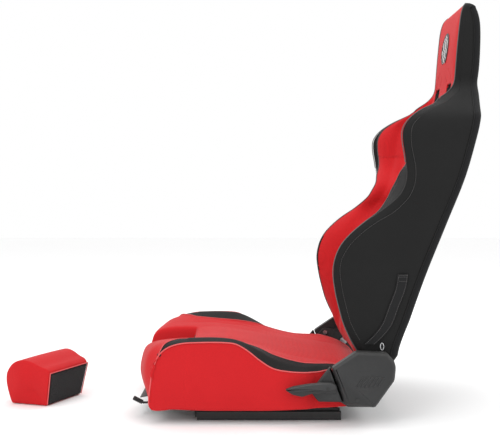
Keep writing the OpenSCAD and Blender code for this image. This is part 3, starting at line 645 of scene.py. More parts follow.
def slab_faces(cols: int, rows: int) -> list[tuple[int, ...]]:
    """Makes the faces of a thin slab whose two layers of points each run row by row.

    Args:
        cols: The cells across.
        rows: The cells up.

    Returns:
        The faces of both layers and of the rim between them.
    """
    width, size = cols + 1, (cols + 1) * (rows + 1)
    faces = []
    for r in range(rows):
        for c in range(cols):
            a = r * width + c
            faces.append((a, a + 1, a + width + 1, a + width))
            faces.append((size + a, size + a + width, size + a + width + 1, size + a + 1))
    right = [r * width + cols for r in range(1, rows + 1)]
    top = [rows * width + c for c in range(cols - 1, -1, -1)]
    left = [r * width for r in range(rows - 1, 0, -1)]
    rim = [*range(width), *right, *top, *left]
    return faces + [(a, size + a, size + b, b) for a, b in zip(rim, rim[1:] + rim[:1])]


def smooth_by_angle(obj: bpy.types.Object, degrees: float = 32.0) -> None:
    """Shades obj smooth except across edges sharper than the angle."""
    bm = bmesh.new()
    bm.from_mesh(obj.data)
    for f in bm.faces:
        f.smooth = True
    for e in bm.edges:
        e.smooth = len(e.link_faces) == 2 and e.calc_face_angle(0.0) < math.radians(degrees)
    bm.to_mesh(obj.data)
    bm.free()


# --- Sewn covers ------------------------------------------------------------------------------


@dataclass
class SewnCover:
    """A closed padded form made of sewn panels, as a grid of stations and columns.

    The columns run once around the form, so the last one joins the first. Seams are columns or stations that
    the filling can't push out.
    """

    name: str
    grid: np.ndarray
    zone_of: Callable[[int, int], str]
    held: Callable[[int, int], float]
    cap: float = 6.0
    pressure: float = 4.0
    ids: np.ndarray = field(init=False)

    def relax(self, passes: int, free: Callable[[int, int], bool]) -> None:
        """Rounds the form off by averaging each free point with its neighbours."""
        nu, nv, _ = self.grid.shape
        mask = np.array([[free(i, j) for j in range(nv)] for i in range(nu)], float)[:, :, None]
        for _ in range(passes):
            g = self.grid
            along = np.concatenate([g[:1], (g[:-2] + g[2:]) / 2, g[-1:]])
            around = (np.roll(g, 1, axis=1) + np.roll(g, -1, axis=1)) / 2
            self.grid = g + 0.5 * mask * ((along + around) / 2 - g)

    def inflate(self) -> None:
        """Fills the form by cloth simulation, with its seams held and each point moving no more than the cap."""
        nu, nv, _ = self.grid.shape
        ids = np.arange(nu * nv).reshape(nu, nv)
        faces = [(ids[i, j], ids[i, (j + 1) % nv], ids[i + 1, (j + 1) % nv], ids[i + 1, j])
                 for i in range(nu - 1) for j in range(nv)]
        mesh = bpy.data.meshes.new(self.name + "_form")
        mesh.from_pydata([tuple(p * MM) for p in self.grid.reshape(-1, 3)], [],
                         [tuple(map(int, f)) for f in faces])
        bm = bmesh.new()
        bm.from_mesh(mesh)
        bmesh.ops.recalc_face_normals(bm, faces=bm.faces)
        bm.to_mesh(mesh)
        bm.free()
        obj = bpy.data.objects.new(self.name + "_form", mesh)
        bpy.context.scene.collection.objects.link(obj)
        pins = obj.vertex_groups.new(name="seams")
        for i in range(nu):
            for j in range(nv):
                hold = 1.0 if i in (0, nu - 1) else self.held(i, j)
                if hold > 0:
                    pins.add([int(ids[i, j])], hold, "REPLACE")
        cloth = obj.modifiers.new("filling", "CLOTH")
        cloth.settings.quality = 5
        cloth.settings.mass = 0.35
        cloth.settings.tension_stiffness = 30
        cloth.settings.compression_stiffness = 30
        cloth.settings.shear_stiffness = 8
        cloth.settings.bending_stiffness = 2.0
        cloth.settings.use_pressure = True
        cloth.settings.uniform_pressure_force = self.pressure
        cloth.settings.vertex_group_mass = "seams"
        cloth.settings.effector_weights.gravity = 0.0
        scene = bpy.context.scene
        for f in range(1, 21):
            scene.frame_set(f)
        graph = bpy.context.evaluated_depsgraph_get()
        after = np.empty(nu * nv * 3)
        obj.evaluated_get(graph).data.vertices.foreach_get("co", after)
        after = after.reshape(nu, nv, 3) / MM
        scene.frame_set(1)
        bpy.data.objects.remove(obj)
        move = after - self.grid
        size = np.linalg.norm(move, axis=2, keepdims=True)
        limit = np.minimum(1.0, self.cap * np.tanh(size / self.cap) / np.maximum(size, 1e-6))
        self.grid = self.grid + move * limit
        LOG.info("%s filled, largest move %.1f mm", self.name, float((size * limit).max()))

    def panels(self, depth: float) -> dict[str, bpy.types.Object]:
        """Cuts the form into its panels.

        Args:
            depth: The thickness of cover and foam kept behind each panel, in millimetres.

        Returns:
            The closed panels by zone name.
        """
        nu, nv, _ = self.grid.shape
        points = self.grid.reshape(-1, 3)
        zones: dict[str, list[tuple[int, ...]]] = {}
        for i in range(nu - 1):
            for j in range(nv):
                k = (j + 1) % nv
                face = (i * nv + j, i * nv + k, (i + 1) * nv + k, (i + 1) * nv + j)
                zones.setdefault(self.zone_of(i, j), []).append(face)
        out = {}
        for zone, faces in zones.items():
            if not zone:
                continue
            used = sorted({v for f in faces for v in f})
            number = {v: k for k, v in enumerate(used)}
            mesh = bpy.data.meshes.new(zone)
            mesh.from_pydata([tuple(points[v] * MM) for v in used], [],
                             [tuple(number[v] for v in f) for f in faces])
            obj = bpy.data.objects.new(zone, mesh)
            bpy.context.scene.collection.objects.link(obj)
            sub = obj.modifiers.new("smooth", "SUBSURF")
            sub.levels = sub.render_levels = 1
            sub.boundary_smooth = "PRESERVE_CORNERS"
            solid = obj.modifiers.new("foam", "SOLIDIFY")
            solid.thickness = depth * MM
            solid.offset = -1.0 * self.facing()
            apply_modifiers(obj)
            bm = bmesh.new()
            bm.from_mesh(obj.data)
            bmesh.ops.remove_doubles(bm, verts=bm.verts, dist=0.00001)
            bmesh.ops.recalc_face_normals(bm, faces=bm.faces)
            bm.to_mesh(obj.data)
            bm.free()
            obj.data.polygons.foreach_set("use_smooth", [True] * len(obj.data.polygons))
            out[zone] = obj
        return out

    def facing(self) -> float:
        """Tells whether the grid's faces point out of the form: 1 if they do, and -1 if they don't."""
        g = self.grid
        centre = g.mean(axis=1, keepdims=True)
        du = np.gradient(g, axis=0)
        dv = np.roll(g, -1, axis=1) - np.roll(g, 1, axis=1)
        out = np.cross(dv, du)
        return 1.0 if ((out * (g - centre)).sum(2)).mean() > 0 else -1.0


class Section:
    """Builds half a cross-section of a cover from rail points, and mirrors it."""

    def __init__(self, counts: Sequence[int]) -> None:
        """Takes the number of columns in each span between rails."""
        self.counts = list(counts)
        self.marks = np.concatenate([[0], np.cumsum(counts)]).astype(int)

    def half(self, rails: Sequence[Point], bulges: Sequence[Point | float]) -> np.ndarray:
        """Joins rail points with spans.

        Args:
            rails: One point at each rail.
            bulges: For each span the vector by which its middle stands off the straight line, or 0.

        Returns:
            The points, from the first rail to the last.
        """
        out = []
        for a, b, bulge, count in zip(rails[:-1], rails[1:], bulges, self.counts):
            a, b = np.asarray(a, float), np.asarray(b, float)
            push = np.zeros(3) if isinstance(bulge, (int, float)) else np.asarray(bulge, float)
            for k in range(count):
                t = k / count
                out.append(a + (b - a) * t + push * 4 * t * (1 - t))
        out.append(np.asarray(rails[-1], float))
        return np.array(out)

    @staticmethod
    def whole(half: np.ndarray) -> np.ndarray:
        """Joins a right half, which starts and ends on the middle plane, to its mirror image."""
        left = half[1:-1][::-1].copy()
        left[:, 1] *= -1
        return np.concatenate([half, left])


def nearest(obj: bpy.types.Object, points: Iterable[Point], lift: float = 0.0) -> np.ndarray:
    """Moves points onto obj's surface, and off it by lift, in millimetres."""
    graph = bpy.context.evaluated_depsgraph_get()
    tree = BVHTree.FromObject(obj, graph)
    out = []
    for p in points:
        spot, normal, _, _ = tree.find_nearest(Vector([c * MM for c in p]))
        out.append(np.array(spot + normal * (lift * MM)) / MM)
    return np.array(out)


@dataclass
class Cushion:
    """The seat cushion: one foam form under a red seat cover, black bolster strips and red side panels."""

    body: str = "carriage"
    steps: int = 4
    wall_rows: int = 8
    panel_crown: float = 2.0
    foam: float = 4.0
    counts: tuple[int, ...] = (6, 10, 6, 5, 5, 6, 6, 14, 2, 3, 8, 6)
    rails: tuple[str, ...] = ("M", "F", "N", "E", "R", "S", "C", "T", "B", "K", "U", "W", "V")

    # Rail points as (x, y, z) at each station, in millimetres: ahead of the notch's back wall, and behind it.
    FRONT = {
        "T": [(-279, 262, 42), (-279, 262, 60), (-275, 262, 95), (-269, 262, 130), (-256, 262, 160),
              (-236, 262, 178),
              (-212, 262, 186.5), (-192, 262, 189.5)],
        "C": [(-279.2, 261.8, 42), (-279.2, 261.8, 60), (-275.2, 261.8, 95), (-269.2, 261.8, 130.2),
              (-256.3, 261.7, 160.4),
              (-239.5, 253, 182), (-216, 235, 191.5), (-195, 228, 194.5)],
        "S": [(-279.5, 261.6, 42), (-279.5, 261.6, 60), (-275.5, 261.6, 95), (-269.5, 261.6, 130.4),
              (-256.8, 261.3, 160.9),
              (-243.5, 242, 184.5), (-218, 207, 189.5), (-196, 186, 187.5)],
        "R": [(-282, 226, 61), (-289, 226, 70), (-295, 228, 104), (-291.5, 229, 142), (-279, 228, 169),
              (-258, 205, 182),
              (-222, 172, 183.5), (-197, 160, 182)],
        "E": [(-290, 140, 61), (-305, 140, 70), (-314, 140, 104), (-309, 140, 136), (-299, 140, 160),
              (-270, 140, 174),
              (-225, 140, 178.5), (-198, 140, 178)],
        "N": [(-296, 83.5, 61), (-309, 86, 70), (-317, 91.6, 101), (-313, 94.6, 130), (-304, 97, 156),
              (-278, 95.5, 168),
              (-232, 90.5, 173), (-190, 86, 173.5)],
        "F": [(-306, 83.7, 52.6), (-304, 83.5, 53.1), (-302, 83.3, 53.7), (-299, 82.8, 54.5),
              (-292, 82, 56.4),
              (-268, 79.4, 62.9), (-230, 75.9, 73.1), (-206.5, 74.5, 79.3)],
        "B": [(-272, 34), (-266, 32), (-258, 31.2), (-250, 31.5), (-240, 32.5), (-228, 34), (-210, 33.5),
              (-192, 32.5)],
    }
    WALL_X = -187.0
    WALL_TOP = 171.0
    REAR_X = (-190, -140, -98, -75, -50, -21, 10, 48, 81, 92, 106, 115, 150, 190, 225, 246, 256)
    REAR = {
        "M": [170.5, 172, 167.5, 164, 159.5, 153.5, 147.5, 139.5, 133.5, 131.5, 129.5, 128.5, 122.5, 115.5,
              101, 82, 64],
        "E": [178, 177, 172.5, 169.5, 165, 158.5, 151, 141.5, 135, 133, 130.5, 129.5, 123.5, 116, 101.5, 82,
              64],
        "R": [182.5, 180.5, 176, 173, 168.5, 162, 152.5, 142, 136, 134.5, 132.5, 131.5, 127.5, 119, 103,
              82.5, 64],
        "S": [187.3, 184, 180.5, 178, 173.5, 165.5, 153, 141.5, 134.8, 134, 133.2, 133, 131.5, 122, 105, 83,
              64],
        "C": [197, 198.5, 196.5, 192.5, 183, 167, 148, 135, 130, 130, 130.2, 130.5, 130.5, 121.5, 104, 82.5,
              64],
        "T": [189.7, 191, 190, 185.7, 171, 148, 129.5, 122.5, 120.3, 120.1, 119.8, 120.5, 126, 115, 98, 78,
              60],
        "B": [32.4, 31, 31, 31, 31, 31, 31.5, 33, 34, 34, 34.5, 35, 37, 40, 44, 55, 60],
    }
    REAR_Y = {
        "R": [160, 160, 160, 161, 163, 170, 180, 184, 184, 184, 184, 184, 182, 180, 180, 180, 180],
        "S": [184, 174, 174, 176, 181, 192, 207, 213, 215, 215, 214, 214, 211, 207, 205, 205, 205],
        "C": [227, 224, 226, 229, 232, 235, 238, 240, 240, 239, 235, 234, 232, 230, 229, 229, 229],
        "T": [262, 262, 262, 262, 262, 262, 262, 262, 259.5, 255.8, 250.5, 250, 250, 250, 250, 250, 250],
    }

    def front_rails(self) -> dict[str, np.ndarray]:
        """Returns the rail curves ahead of the notch's back wall."""
        rails = {k: spline(v, self.steps) for k, v in self.FRONT.items() if k != "B"}
        low = spline(self.FRONT["B"], self.steps)
        t = rails["T"]
        rails["B"] = np.stack([low[:, 0], t[:, 1] - 0.3, low[:, 1]], axis=1)
        rails["M"] = rails["F"] * [1, 0, 1]
        self.hang(rails)
        return rails

    def rear_rails(self) -> dict[str, np.ndarray]:
        """Returns the rail curves behind the notch's back wall."""
        x = np.array(self.REAR_X, float)
        size = len(x)
        y = {**{k: np.array(v, float) for k, v in self.REAR_Y.items()},
             "M": np.zeros(size), "E": np.linspace(141, 148, size).clip(141, 147)}
        rails = {k: spline(np.stack([x, y.get(k, y["T"] - 0.3), np.array(v, float)], axis=1), self.steps)
                 for k, v in self.REAR.items()}
        lift = np.linspace(1, 0, len(rails["M"]))[:, None] * [0, 0, 1.5]
        rails["N"] = rails["M"] + lift + [0, 100, 0.5]
        rails["F"] = rails["M"] + lift * 0.6 + [0, 60, 0.3]
        for k, y0, rise in (("M", 0, 0), ("F", 62, 0.4), ("N", 88, 1.8)):
            rails[k][0] = (self.WALL_X, y0, self.WALL_TOP + rise)
        self.hang(rails)
        return rails

    def hang(self, rails: dict[str, np.ndarray]) -> None:
        """Adds the skirt and underside rails to rails, below its lower edge B."""
        low = rails["B"]
        rails["K"] = low + [0, -11.2, 1.5]
        rails["U"] = np.stack([low[:, 0], low[:, 1] - 11.7, np.full(len(low), 60.4)], axis=1)
        rails["W"] = rails["U"] * [1, 0, 1] + [0, 95, 0]
        rails["V"] = rails["U"] * [1, 0, 1]

    def form(self) -> SewnCover:
        """Builds and fills the cushion's form."""
        front, rear = self.front_rails(), self.rear_rails()
        blend = [{k: front[k][-1] + (rear[k][0] - front[k][-1]) * t for k in self.rails}
                 for t in (i / self.wall_rows for i in range(1, self.wall_rows))]
        stations = [{k: front[k][i] for k in self.rails} for i in range(len(front["M"]))]
        self.front_count = len(stations) - 1
        stations += blend
        self.wall_end = len(stations)
        stations += [{k: rear[k][i] for k in self.rails} for i in range(len(rear["M"]))]
        section = Section(self.counts)
        grid = []
        for s in stations:
            crown = self.panel_crown * float(np.clip((75 - s["T"][0]) / 60, 0, 1))
            bulges = [0] * len(self.counts)
            bulges[7] = (0, crown, 0)
            grid.append(Section.whole(section.half([s[k] for k in self.rails], bulges)))
        self.marks = dict(zip(self.rails, section.marks))
        self.span = section.marks[-1]
        cover = SewnCover("cushion", np.array(grid), self.zone, self.hold, cap=4.5, pressure=3.0)
        cover.relax(3, lambda i, j: self.hold(i, j) < 1 or self.on_notch(i, j))
        cover.inflate()
        return cover

    def fold(self, j: int) -> int:
        """Turns a column of either half into its column in the right half."""
        return j if j <= self.span else 2 * self.span - j

    def on_notch(self, i: int, j: int) -> bool:
        """Tells whether a point lies on an edge of the notch, which is rounded off but not filled."""
        return self.fold(j) in range(self.marks["N"] - 2, self.marks["N"] + 3) or (
            self.front_count <= i <= self.wall_end + 1 and self.fold(j) <= self.marks["N"])

    def hold(self, i: int, j: int) -> float:
        """Tells how firmly a point is held while the form is filled."""
        c, m = self.fold(j), self.marks
        if c >= m["B"] or c in (m["S"], m["T"]):
            return 1.0
        if i <= self.wall_end and c <= m["N"]:
            return 1.0
        if c == m["E"]:
            return 0.5
        return 0.0

    def zone(self, i: int, j: int) -> str:
        """Names the panel that a face belongs to."""
        side = Side.RIGHT if j < self.span else Side.LEFT
        c = j if j < self.span else 2 * self.span - 1 - j
        m = self.marks
        if c < m["F"] and i < self.front_count:
            return "notch_ramp"
        if c < m["S"] or (c < m["T"] and i < self.steps * 4):
            return "seat_cover"
        if c < m["T"]:
            return f"bolster_strip_{side.word}"
        if c < m["U"]:
            return f"side_panel_{side.word}"
        return "" if c >= m["W"] and i < self.wall_end else "cushion_underside"

    def seam(self, grid: np.ndarray, rail: str, side: Side, first: int = 0,
             last: int | None = None) -> np.ndarray:
        """Returns the line of a seam on the finished form."""
        column = self.marks[rail] if side is Side.RIGHT else 2 * self.span - self.marks[rail]
        return grid[first:last, column]

    def build(self) -> None:
        """Builds and dresses the cushion's pieces."""
        cover = self.form()
        panels = cover.panels(self.foam)
        stands_for = {"seat_cover": ["cushion_centre"], "notch_ramp": ["insert_ramp"],
                      "side_panel_left": ["thigh_bolster_left"], "side_panel_right": ["thigh_bolster_right"]}
        for zone, obj in sorted(panels.items()):
            black = zone.startswith("bolster") or zone in ("notch_ramp", "cushion_underside")
            dress(obj, "black" if black else "red", Slot.BLACK if black else Slot.RED, self.body,
                  stands_for.get(zone, ()))
        g = cover.grid
        n = len(g)
        for side in Side:
            hem = self.seam(g, "T", side, 1, n - 4)
            push = np.array([0, side.value * 0.6, 0.5])
            # The pale pink of these piping cords is a painted highlight.
            dress(tube(f"cushion_piping_{side.word}", [evenly(hem + push, 6)], 1.5), "pink_cord_painted_highlight", Slot.RED,
                  self.body)
            top = self.seam(g, "S", side, self.steps * 4, n - 4) + [0, 0, 0.7]
            dress(tube(f"strip_piping_{side.word}", [evenly(top, 6)], 1.1), "pink_cord_painted_highlight", Slot.RED, self.body)
        self.hook_tape()

    def hook_tape(self) -> None:
        """Builds the hook tape on the back wall of the notch."""
        lo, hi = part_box("hook_panel")
        half = hi.y / MM
        cols, rows = 24, 12
        points = []
        for layer in (0, 1):
            for r in range(rows + 1):
                z = lo.z / MM + (hi.z - lo.z) / MM * r / rows
                x = -207 + 0.2 * (z - 80) - (0.9 if layer else -1.2)
                for c in range(cols + 1):
                    y = -half + 2 * half * c / cols
                    edge = min(c, cols - c, r, rows - r)
                    points.append((x + (0.8 if layer and edge == 0 else 0), y, z))
        dress(new_object("notch_hook_tape", points, slab_faces(cols, rows)), "tape", Slot.TAPE, self.body,
              ["hook_panel"])


@dataclass
class Backrest:
    """The backrest: red centre, wings and head front, black wing panels and a black shell cover."""

    body: str = "backrest"
    pivot: tuple[float, float] = (225.0, 108.0)
    pitch: float = 7.5
    foam: float = 4.0
    slot_rows: tuple[float, float] = (664.0, 702.0)
    tuck_rows: int = 4
    counts: tuple[int, ...] = (4, 6, 4, 7, 7, 2, 4, 10, 8, 4, 8, 6, 4)
    rails: tuple[str, ...] = ("M", "G", "H", "E", "I", "P", "Q", "O", "A", "B", "D", "H2", "G2", "M2")

    # Each rail's lower end is at its own height in LOW; from LOW_TOP up, a station's rails are level.
    LOW_FROM = 27.0
    LOW_TOP = 130.0
    TUCK = (40.0, 24.5)
    TUCK_NARROW = 0.985
    TUCK_SAG = 12.0
    TUCK_HEIGHT = 20.0
    LOW = (13, 13, 13, 15, 22, 52, 53, 61, 55, 48, 48, 48, 48, 48)
    CENTRE = [(2, 27), (-6, 40), (-8, 60), (15, 127), (37, 192), (63, 262), (90, 332), (120, 407),
              (150, 482), (177, 552), (200, 627), (219, 655),
              (228, 690), (232, 740), (238, 810), (243, 850), (247, 872), (251, 884), (257, 891),
              (263, 895.5)]
    REAR = [(78, 27), (84, 60), (104, 127), (144, 241), (189, 354), (234, 468), (265, 581), (276, 626),
            (288, 674), (297, 735), (300, 800),
            (299, 845), (294, 872), (289, 884), (282, 891), (272, 895.5)]
    # Height, piping x and y, inner seam of the front band x and y, its rear crease x and y.
    WING = [
        (27, -14, 232, -13, 234, -2, 249), (60, -30, 236, -29, 237, -14, 250),
        (80, -38, 238, -37, 239, -23, 251), (115, -50, 241, -49, 242, -35, 252),
        (158, -62, 243, -61, 244, -47, 252), (196, -71, 243, -70, 244, -56, 252),
        (240, -77, 243, -76, 244, -63, 252),
        (268, -74, 243, -73, 244, -61, 252), (293, -66, 243, -65, 244, -50, 252),
        (316, -52, 243, -51, 244, -33, 252),
        (340, -29, 243, -28, 244, -7, 252), (362, -2, 241, -1, 243.5, 24, 252),
        (384, 29, 228, 31, 241, 61, 252),
        (414, 58, 180, 68, 244, 92, 252), (435, 70, 166, 84, 246, 104, 252),
        (456, 81, 168, 91, 246.5, 110, 252),
        (478, 87, 195, 93, 246, 111, 252), (497, 96, 222, 90, 244, 109, 252),
        (520, 98, 231, 86.5, 244, 104, 252),
        (545, 95, 232, 82, 244, 100, 252), (571, 94, 231, 81.5, 243, 100, 252),
        (590, 99, 229, 90, 240, 108, 247),
        (609, 113, 222, 109, 231, 128, 238), (627, 140, 197, 138, 203, 160, 214),
        (644, 175, 156, 176, 160, 200, 190),
        (657, 188, 137, 190, 140, 214, 172), (674, 213, 121, 215, 123, 236, 150),
        (690, 227, 116, 229, 117.5, 243, 129),
        (704, 232, 113.5, 233, 115, 244, 118), (723, 234, 113, 235, 115, 246, 118),
        (790, 239, 113, 240, 115, 251, 118),
        (850, 245, 113, 246, 115, 257, 118), (872, 249, 111, 250, 113, 260, 116),
        (884, 253, 108, 254, 110, 263, 113),
        (891, 258, 103, 259, 104.5, 266, 107), (895.5, 263, 97, 263.6, 97.6, 268, 99)]

    def heights(self) -> np.ndarray:
        """Returns the height of each station, closer together where the head rounds off."""
        marks = [self.LOW_FROM, *self.slot_rows, 868.0]
        out: list[float] = []
        for a, b in zip(marks[:-1], marks[1:]):
            count = max(1, round((b - a) / self.pitch))
            out += [a + (b - a) * k / count for k in range(count)]
        return np.array(out + [868.0, 873.0, 878.0, 882.0, 885.5, 888.5, 891.0, 893.0, 894.5, 895.5])

    def smooth_table(self, table: Sequence[Sequence[float]], heights: np.ndarray, key: int) -> np.ndarray:
        """Samples a table of rows at heights; key is the column that holds the height."""
        line = spline(table, 12)
        order = np.argsort(line[:, key], kind="stable")
        line = line[order]
        return np.stack([np.interp(heights, line[:, key], line[:, k]) for k in range(line.shape[1])], axis=1)

    def form(self) -> SewnCover:
        """Builds and fills the backrest's form."""
        h = self.heights()
        centre = self.smooth_table(self.CENTRE, h, 1)[:, 0]
        rear = self.smooth_table(self.REAR, h, 1)[:, 0] - 0.5
        wing = self.smooth_table(self.WING, h, 0)
        section = Section(self.counts)
        self.marks = dict(zip(self.rails, section.marks))
        self.span = section.marks[-1]
        grid = []
        for i, z in enumerate(h):
            _, px, py, qx, qy, ox, oy = wing[i]
            shape = float(np.clip((z - 610) / 70, 0, 1))
            cx, rx = centre[i], rear[i]
            narrow = min(1.0, (oy - 16) / 96)
            g, hh = 42 * narrow, 90 * narrow
            ey = min(149 - 47 * shape, py - 52 * (1 - shape) - 8 * shape)
            ey = max(ey, hh + 3)
            iy = ey + (py - ey) * 0.5
            ex = cx - 3 * (1 - shape)
            ix = ex + (px - ex) * (0.42 + 0.08 * shape)
            rails = [(cx - 1.0 * (1 - shape), 0), (cx, g), (cx, hh), (ex, ey), (ix, iy), (px, py), (qx, qy),
                     (ox, oy),
                     ((ox + rx - 22) / 2, oy + 1.2), (rx - 22, oy - 0.4), (rx - 0.5, oy - 20),
                     (rx, hh * 0.999), (rx, g), (rx, 0)]
            if hh > oy - 21:
                rails[11], rails[10] = (rx, hh * 0.97), (rx - 0.5, (oy + hh) / 2 + 1)
            if rx - 22 < ox + 3:
                rails[9] = (ox + (rx - ox) * 0.5, oy - 0.2)
                rails[8] = (ox + (rx - ox) * 0.25, oy)
            share = float(np.clip((z - self.LOW_FROM) / (self.LOW_TOP - self.LOW_FROM), 0, 1))
            rise = [low + (self.LOW_TOP - low) * share if z < self.LOW_TOP else z for low in self.LOW]
            points = [(self.pivot[0] + x, y, self.pivot[1] + up) for (x, y), up in zip(rails, rise)]
            bulges = [0] * len(self.counts)
            bulges[3] = (-4 * (1 - shape), 0, 0)
            bulges[4] = (-7 * (1 - shape), -4 * (1 - shape), 0)
            bulges[6] = (-1.5, 1.5, 0)
            bulges[9] = (4, 4, 0)
            grid.append(Section.whole(section.half(points, bulges)))
        grid = self.tucked(grid[0]) + grid
        self.h = h = np.concatenate([[self.TUCK_HEIGHT] * self.tuck_rows, h])
        self.seam_row = int(np.argmin(np.abs(h - 526)))
        cover = SewnCover("backrest", np.array(grid), self.zone, self.hold, cap=6.0, pressure=4.0)
        cover.relax(3, lambda i, j: self.hold(i, j) < 1 and 0 < i < len(h) - 2)
        cover.inflate()
        return cover

    def tucked(self, ring: np.ndarray) -> list[np.ndarray]:
        """Draws the lower edge in under the frame's cross tube, as rows ahead of the first station."""
        spine = ring * [0, self.TUCK_NARROW, 0] + [self.pivot[0] + self.TUCK[0], 0,
                                                   self.pivot[1] + self.TUCK[1]]
        rows = []
        for i in range(self.tuck_rows, 0, -1):
            t = i / self.tuck_rows
            sag = np.array([0, 0, self.TUCK_SAG * math.sin(math.pi * t)])
            rows.append(ring + (spine - ring) * t - sag)
        return rows

    def fold(self, j: int) -> int:
        """Turns a column of either half into its column in the right half."""
        return j if j <= self.span else 2 * self.span - j

    def in_slot(self, i: int, c: int, reach: int = 0) -> bool:
        """Tells whether a face, by its station and right-half column, lies in a belt slot."""
        m = self.marks
        rows = self.slot_rows[0] - 0.1 - 8 * reach <= self.h[i] < self.slot_rows[1] - 0.1 + 8 * reach
        return rows and (m["G"] - reach <= c < m["H"] + reach or m["H2"] - reach <= c < m["G2"] + reach)

    def hold(self, i: int, j: int) -> float:
        """Tells how firmly a point is held while the form is filled."""
        c, m = self.fold(j), self.marks
        if c in (m["P"], m["Q"], m["O"], m["B"]) or c > m["B"] or i <= self.tuck_rows:
            return 1.0
        if self.in_slot(i, c, 1) or self.h[i] > 884:
            return 1.0
        if i == self.seam_row and c <= m["P"]:
            return 0.9
        return 0.6 if c == m["E"] and self.h[i] < 620 else 0.0

    def zone(self, i: int, j: int) -> str:
        """Names the panel that a face belongs to."""
        side = Side.RIGHT if j < self.span else Side.LEFT
        c = j if j < self.span else 2 * self.span - 1 - j
        m = self.marks
        if self.in_slot(i, c):
            return ""
        if i < self.tuck_rows:
            return "back_underside"
        if c < m["P"]:
            return "back_cover"
        if c < m["O"]:
            return f"wing_band_{side.word}"
        return f"wing_panel_{side.word}" if c < m["B"] else "shell_cover"

    def line(self, grid: np.ndarray, rail: str, side: Side, low: float = 0, high: float = 999) -> np.ndarray:
        """Returns the line of a seam on the finished form, between two heights above the recline axis."""
        column = self.marks[rail] if side is Side.RIGHT else 2 * self.span - self.marks[rail]
        return grid[(self.h >= low) & (self.h <= high), column]

    def at(self, points: Iterable[Point], side: Side) -> np.ndarray:
        """Turns points given as x, height and distance from the middle plane into points of the seat."""
        return np.array([(self.pivot[0] + x, side.value * y, self.pivot[1] + z) for x, z, y in points], float)

    def build(self) -> None:
        """Builds and dresses the backrest's pieces."""
        cover = self.form()
        panels = cover.panels(self.foam)
        stands_for = {"back_cover": ["back_cushion", "headrest"], "wing_panel_left": ["back_wing_left"],
                      "wing_panel_right": ["back_wing_right"], "shell_cover": ["back_shell"]}
        looks = {"back_cover": ("red", Slot.RED), "shell_cover": ("shell", Slot.SHELL)}
        for zone, obj in sorted(panels.items()):
            finish, slot = looks.get(zone, ("black", Slot.BLACK))
            dress(obj, finish, slot, self.body, stands_for.get(zone, ()))
        g = cover.grid
        red, black, thread = [], [], []
        for side in Side:
            edge = self.line(g, "P", side, 26)
            nose = evenly(self.line(g, "Q", side, 492, 640) + [-0.5, side.value * 0.3, 0], 6)
            # The light grey of these piping cords is a painted highlight.
            dress(tube(f"shoulder_piping_{side.word}", [nose], 1.2), "pale_cord_painted_highlight", Slot.BLACK, self.body)
            dress(tube(f"wing_piping_{side.word}", [evenly(edge + [-0.6, side.value * 0.3, 0], 6)], 1.3),
                  "pale_cord_painted_highlight",
                  Slot.BLACK, self.body)
            hem = self.line(g, "B", side, 26, 880) + [0.3, side.value * 0.5, 0]
            dress(tube(f"shell_piping_{side.word}", [evenly(hem, 6)], 1.3), "black", Slot.SHELL, self.body)
            panel = panels[f"wing_panel_{side.word}"]
            route = self.at(self.SHOULDER_SEAM, side)
            for shift in (-1.6, 1.6):
                line = evenly(spline(route + [shift, 0, -shift * 0.8], 10), 4)
                thread.append(nearest(panel, line, 0.1))
            thread.append(self.line(g, "Q", side, 370, 505) + [-0.2, side.value * 0.5, 0])
            thread.append(self.line(g, "O", side, 64, 610) + [1.4, side.value * 0.6, 0])
            edge_of_slot = self.at([(236, 772, 14), (232, 735, 17), (229, 706, 40)], side)
            red.append(nearest(panels["back_cover"], evenly(spline(edge_of_slot, 8), 4), 0.15))
            edge_of_slot = self.at([(236, 776, 24), (232, 742, 52), (229, 706, 92)], side)
            red.append(nearest(panels["back_cover"], evenly(spline(edge_of_slot, 8), 4), 0.15))
        span = self.marks["P"]
        row = np.concatenate([g[self.seam_row, -span:], g[self.seam_row, :span + 1]])
        for dz in (-1.7, 1.7):
            red.append(nearest(panels["back_cover"], evenly(row[1:-1] + [0, 0, dz], 4), 0.1))
        dress(stitches("cover_stitching", red), "red_thread", Slot.RED, self.body)
        dress(stitches("panel_stitching", thread), "thread", Slot.BLACK, self.body)
        self.badge(panels["back_cover"])
        for side in Side:
            self.strap(side)
        self.links()

    SHOULDER_SEAM = [(291, 790, 118), (287, 760, 118), (284, 735, 118), (280, 700, 118), (269, 678, 140),
                     (247, 658, 165),
                     (215, 640, 190), (185, 622, 212), (132, 592, 240)]

    def badge(self, cover: bpy.types.Object) -> None:
        """Builds the oval patch on the head front: a chequered field inside a corded rim."""
        centre, half_w, half_h = self.at([(236, 798, 0)], Side.RIGHT)[0], 33.0, 40.0
        rings, sides = 9, 56
        flat = [(0.0, 0.0)]
        for r in range(1, rings + 1):
            flat += [(half_w * r / rings * math.cos(2 * math.pi * k / sides),
                      half_h * r / rings * math.sin(2 * math.pi * k / sides))
                     for k in range(sides)]
        base = [(centre[0] - 3, centre[1] + y, centre[2] + z) for y, z in flat]
        top, under = nearest(cover, base, 1.5), nearest(cover, base, 0.2)
        faces = []
        for offset in (0, len(flat)):
            for k in range(sides):
                faces.append((offset, offset + 1 + k, offset + 1 + (k + 1) % sides))
            for r in range(rings - 1):
                for k in range(sides):
                    a, b = offset + 1 + r * sides + k, offset + 1 + r * sides + (k + 1) % sides
                    faces.append((a, a + sides, b + sides, b))
        last = 1 + (rings - 1) * sides
        for k in range(sides):
            a, b = last + k, last + (k + 1) % sides
            faces.append((a, b, b + len(flat), a + len(flat)))
        obj = new_object("head_patch", np.concatenate([top, under]), faces)
        dress(obj, "patch", Slot.PATCH, self.body, ["emblem_patch"])
        rim = top[last:last + sides]
        rim = np.concatenate([rim, rim[:2]])
        dress(tube("head_patch_rim", [rim], 1.5), "pale_cord_painted_highlight", Slot.PATCH, self.body)

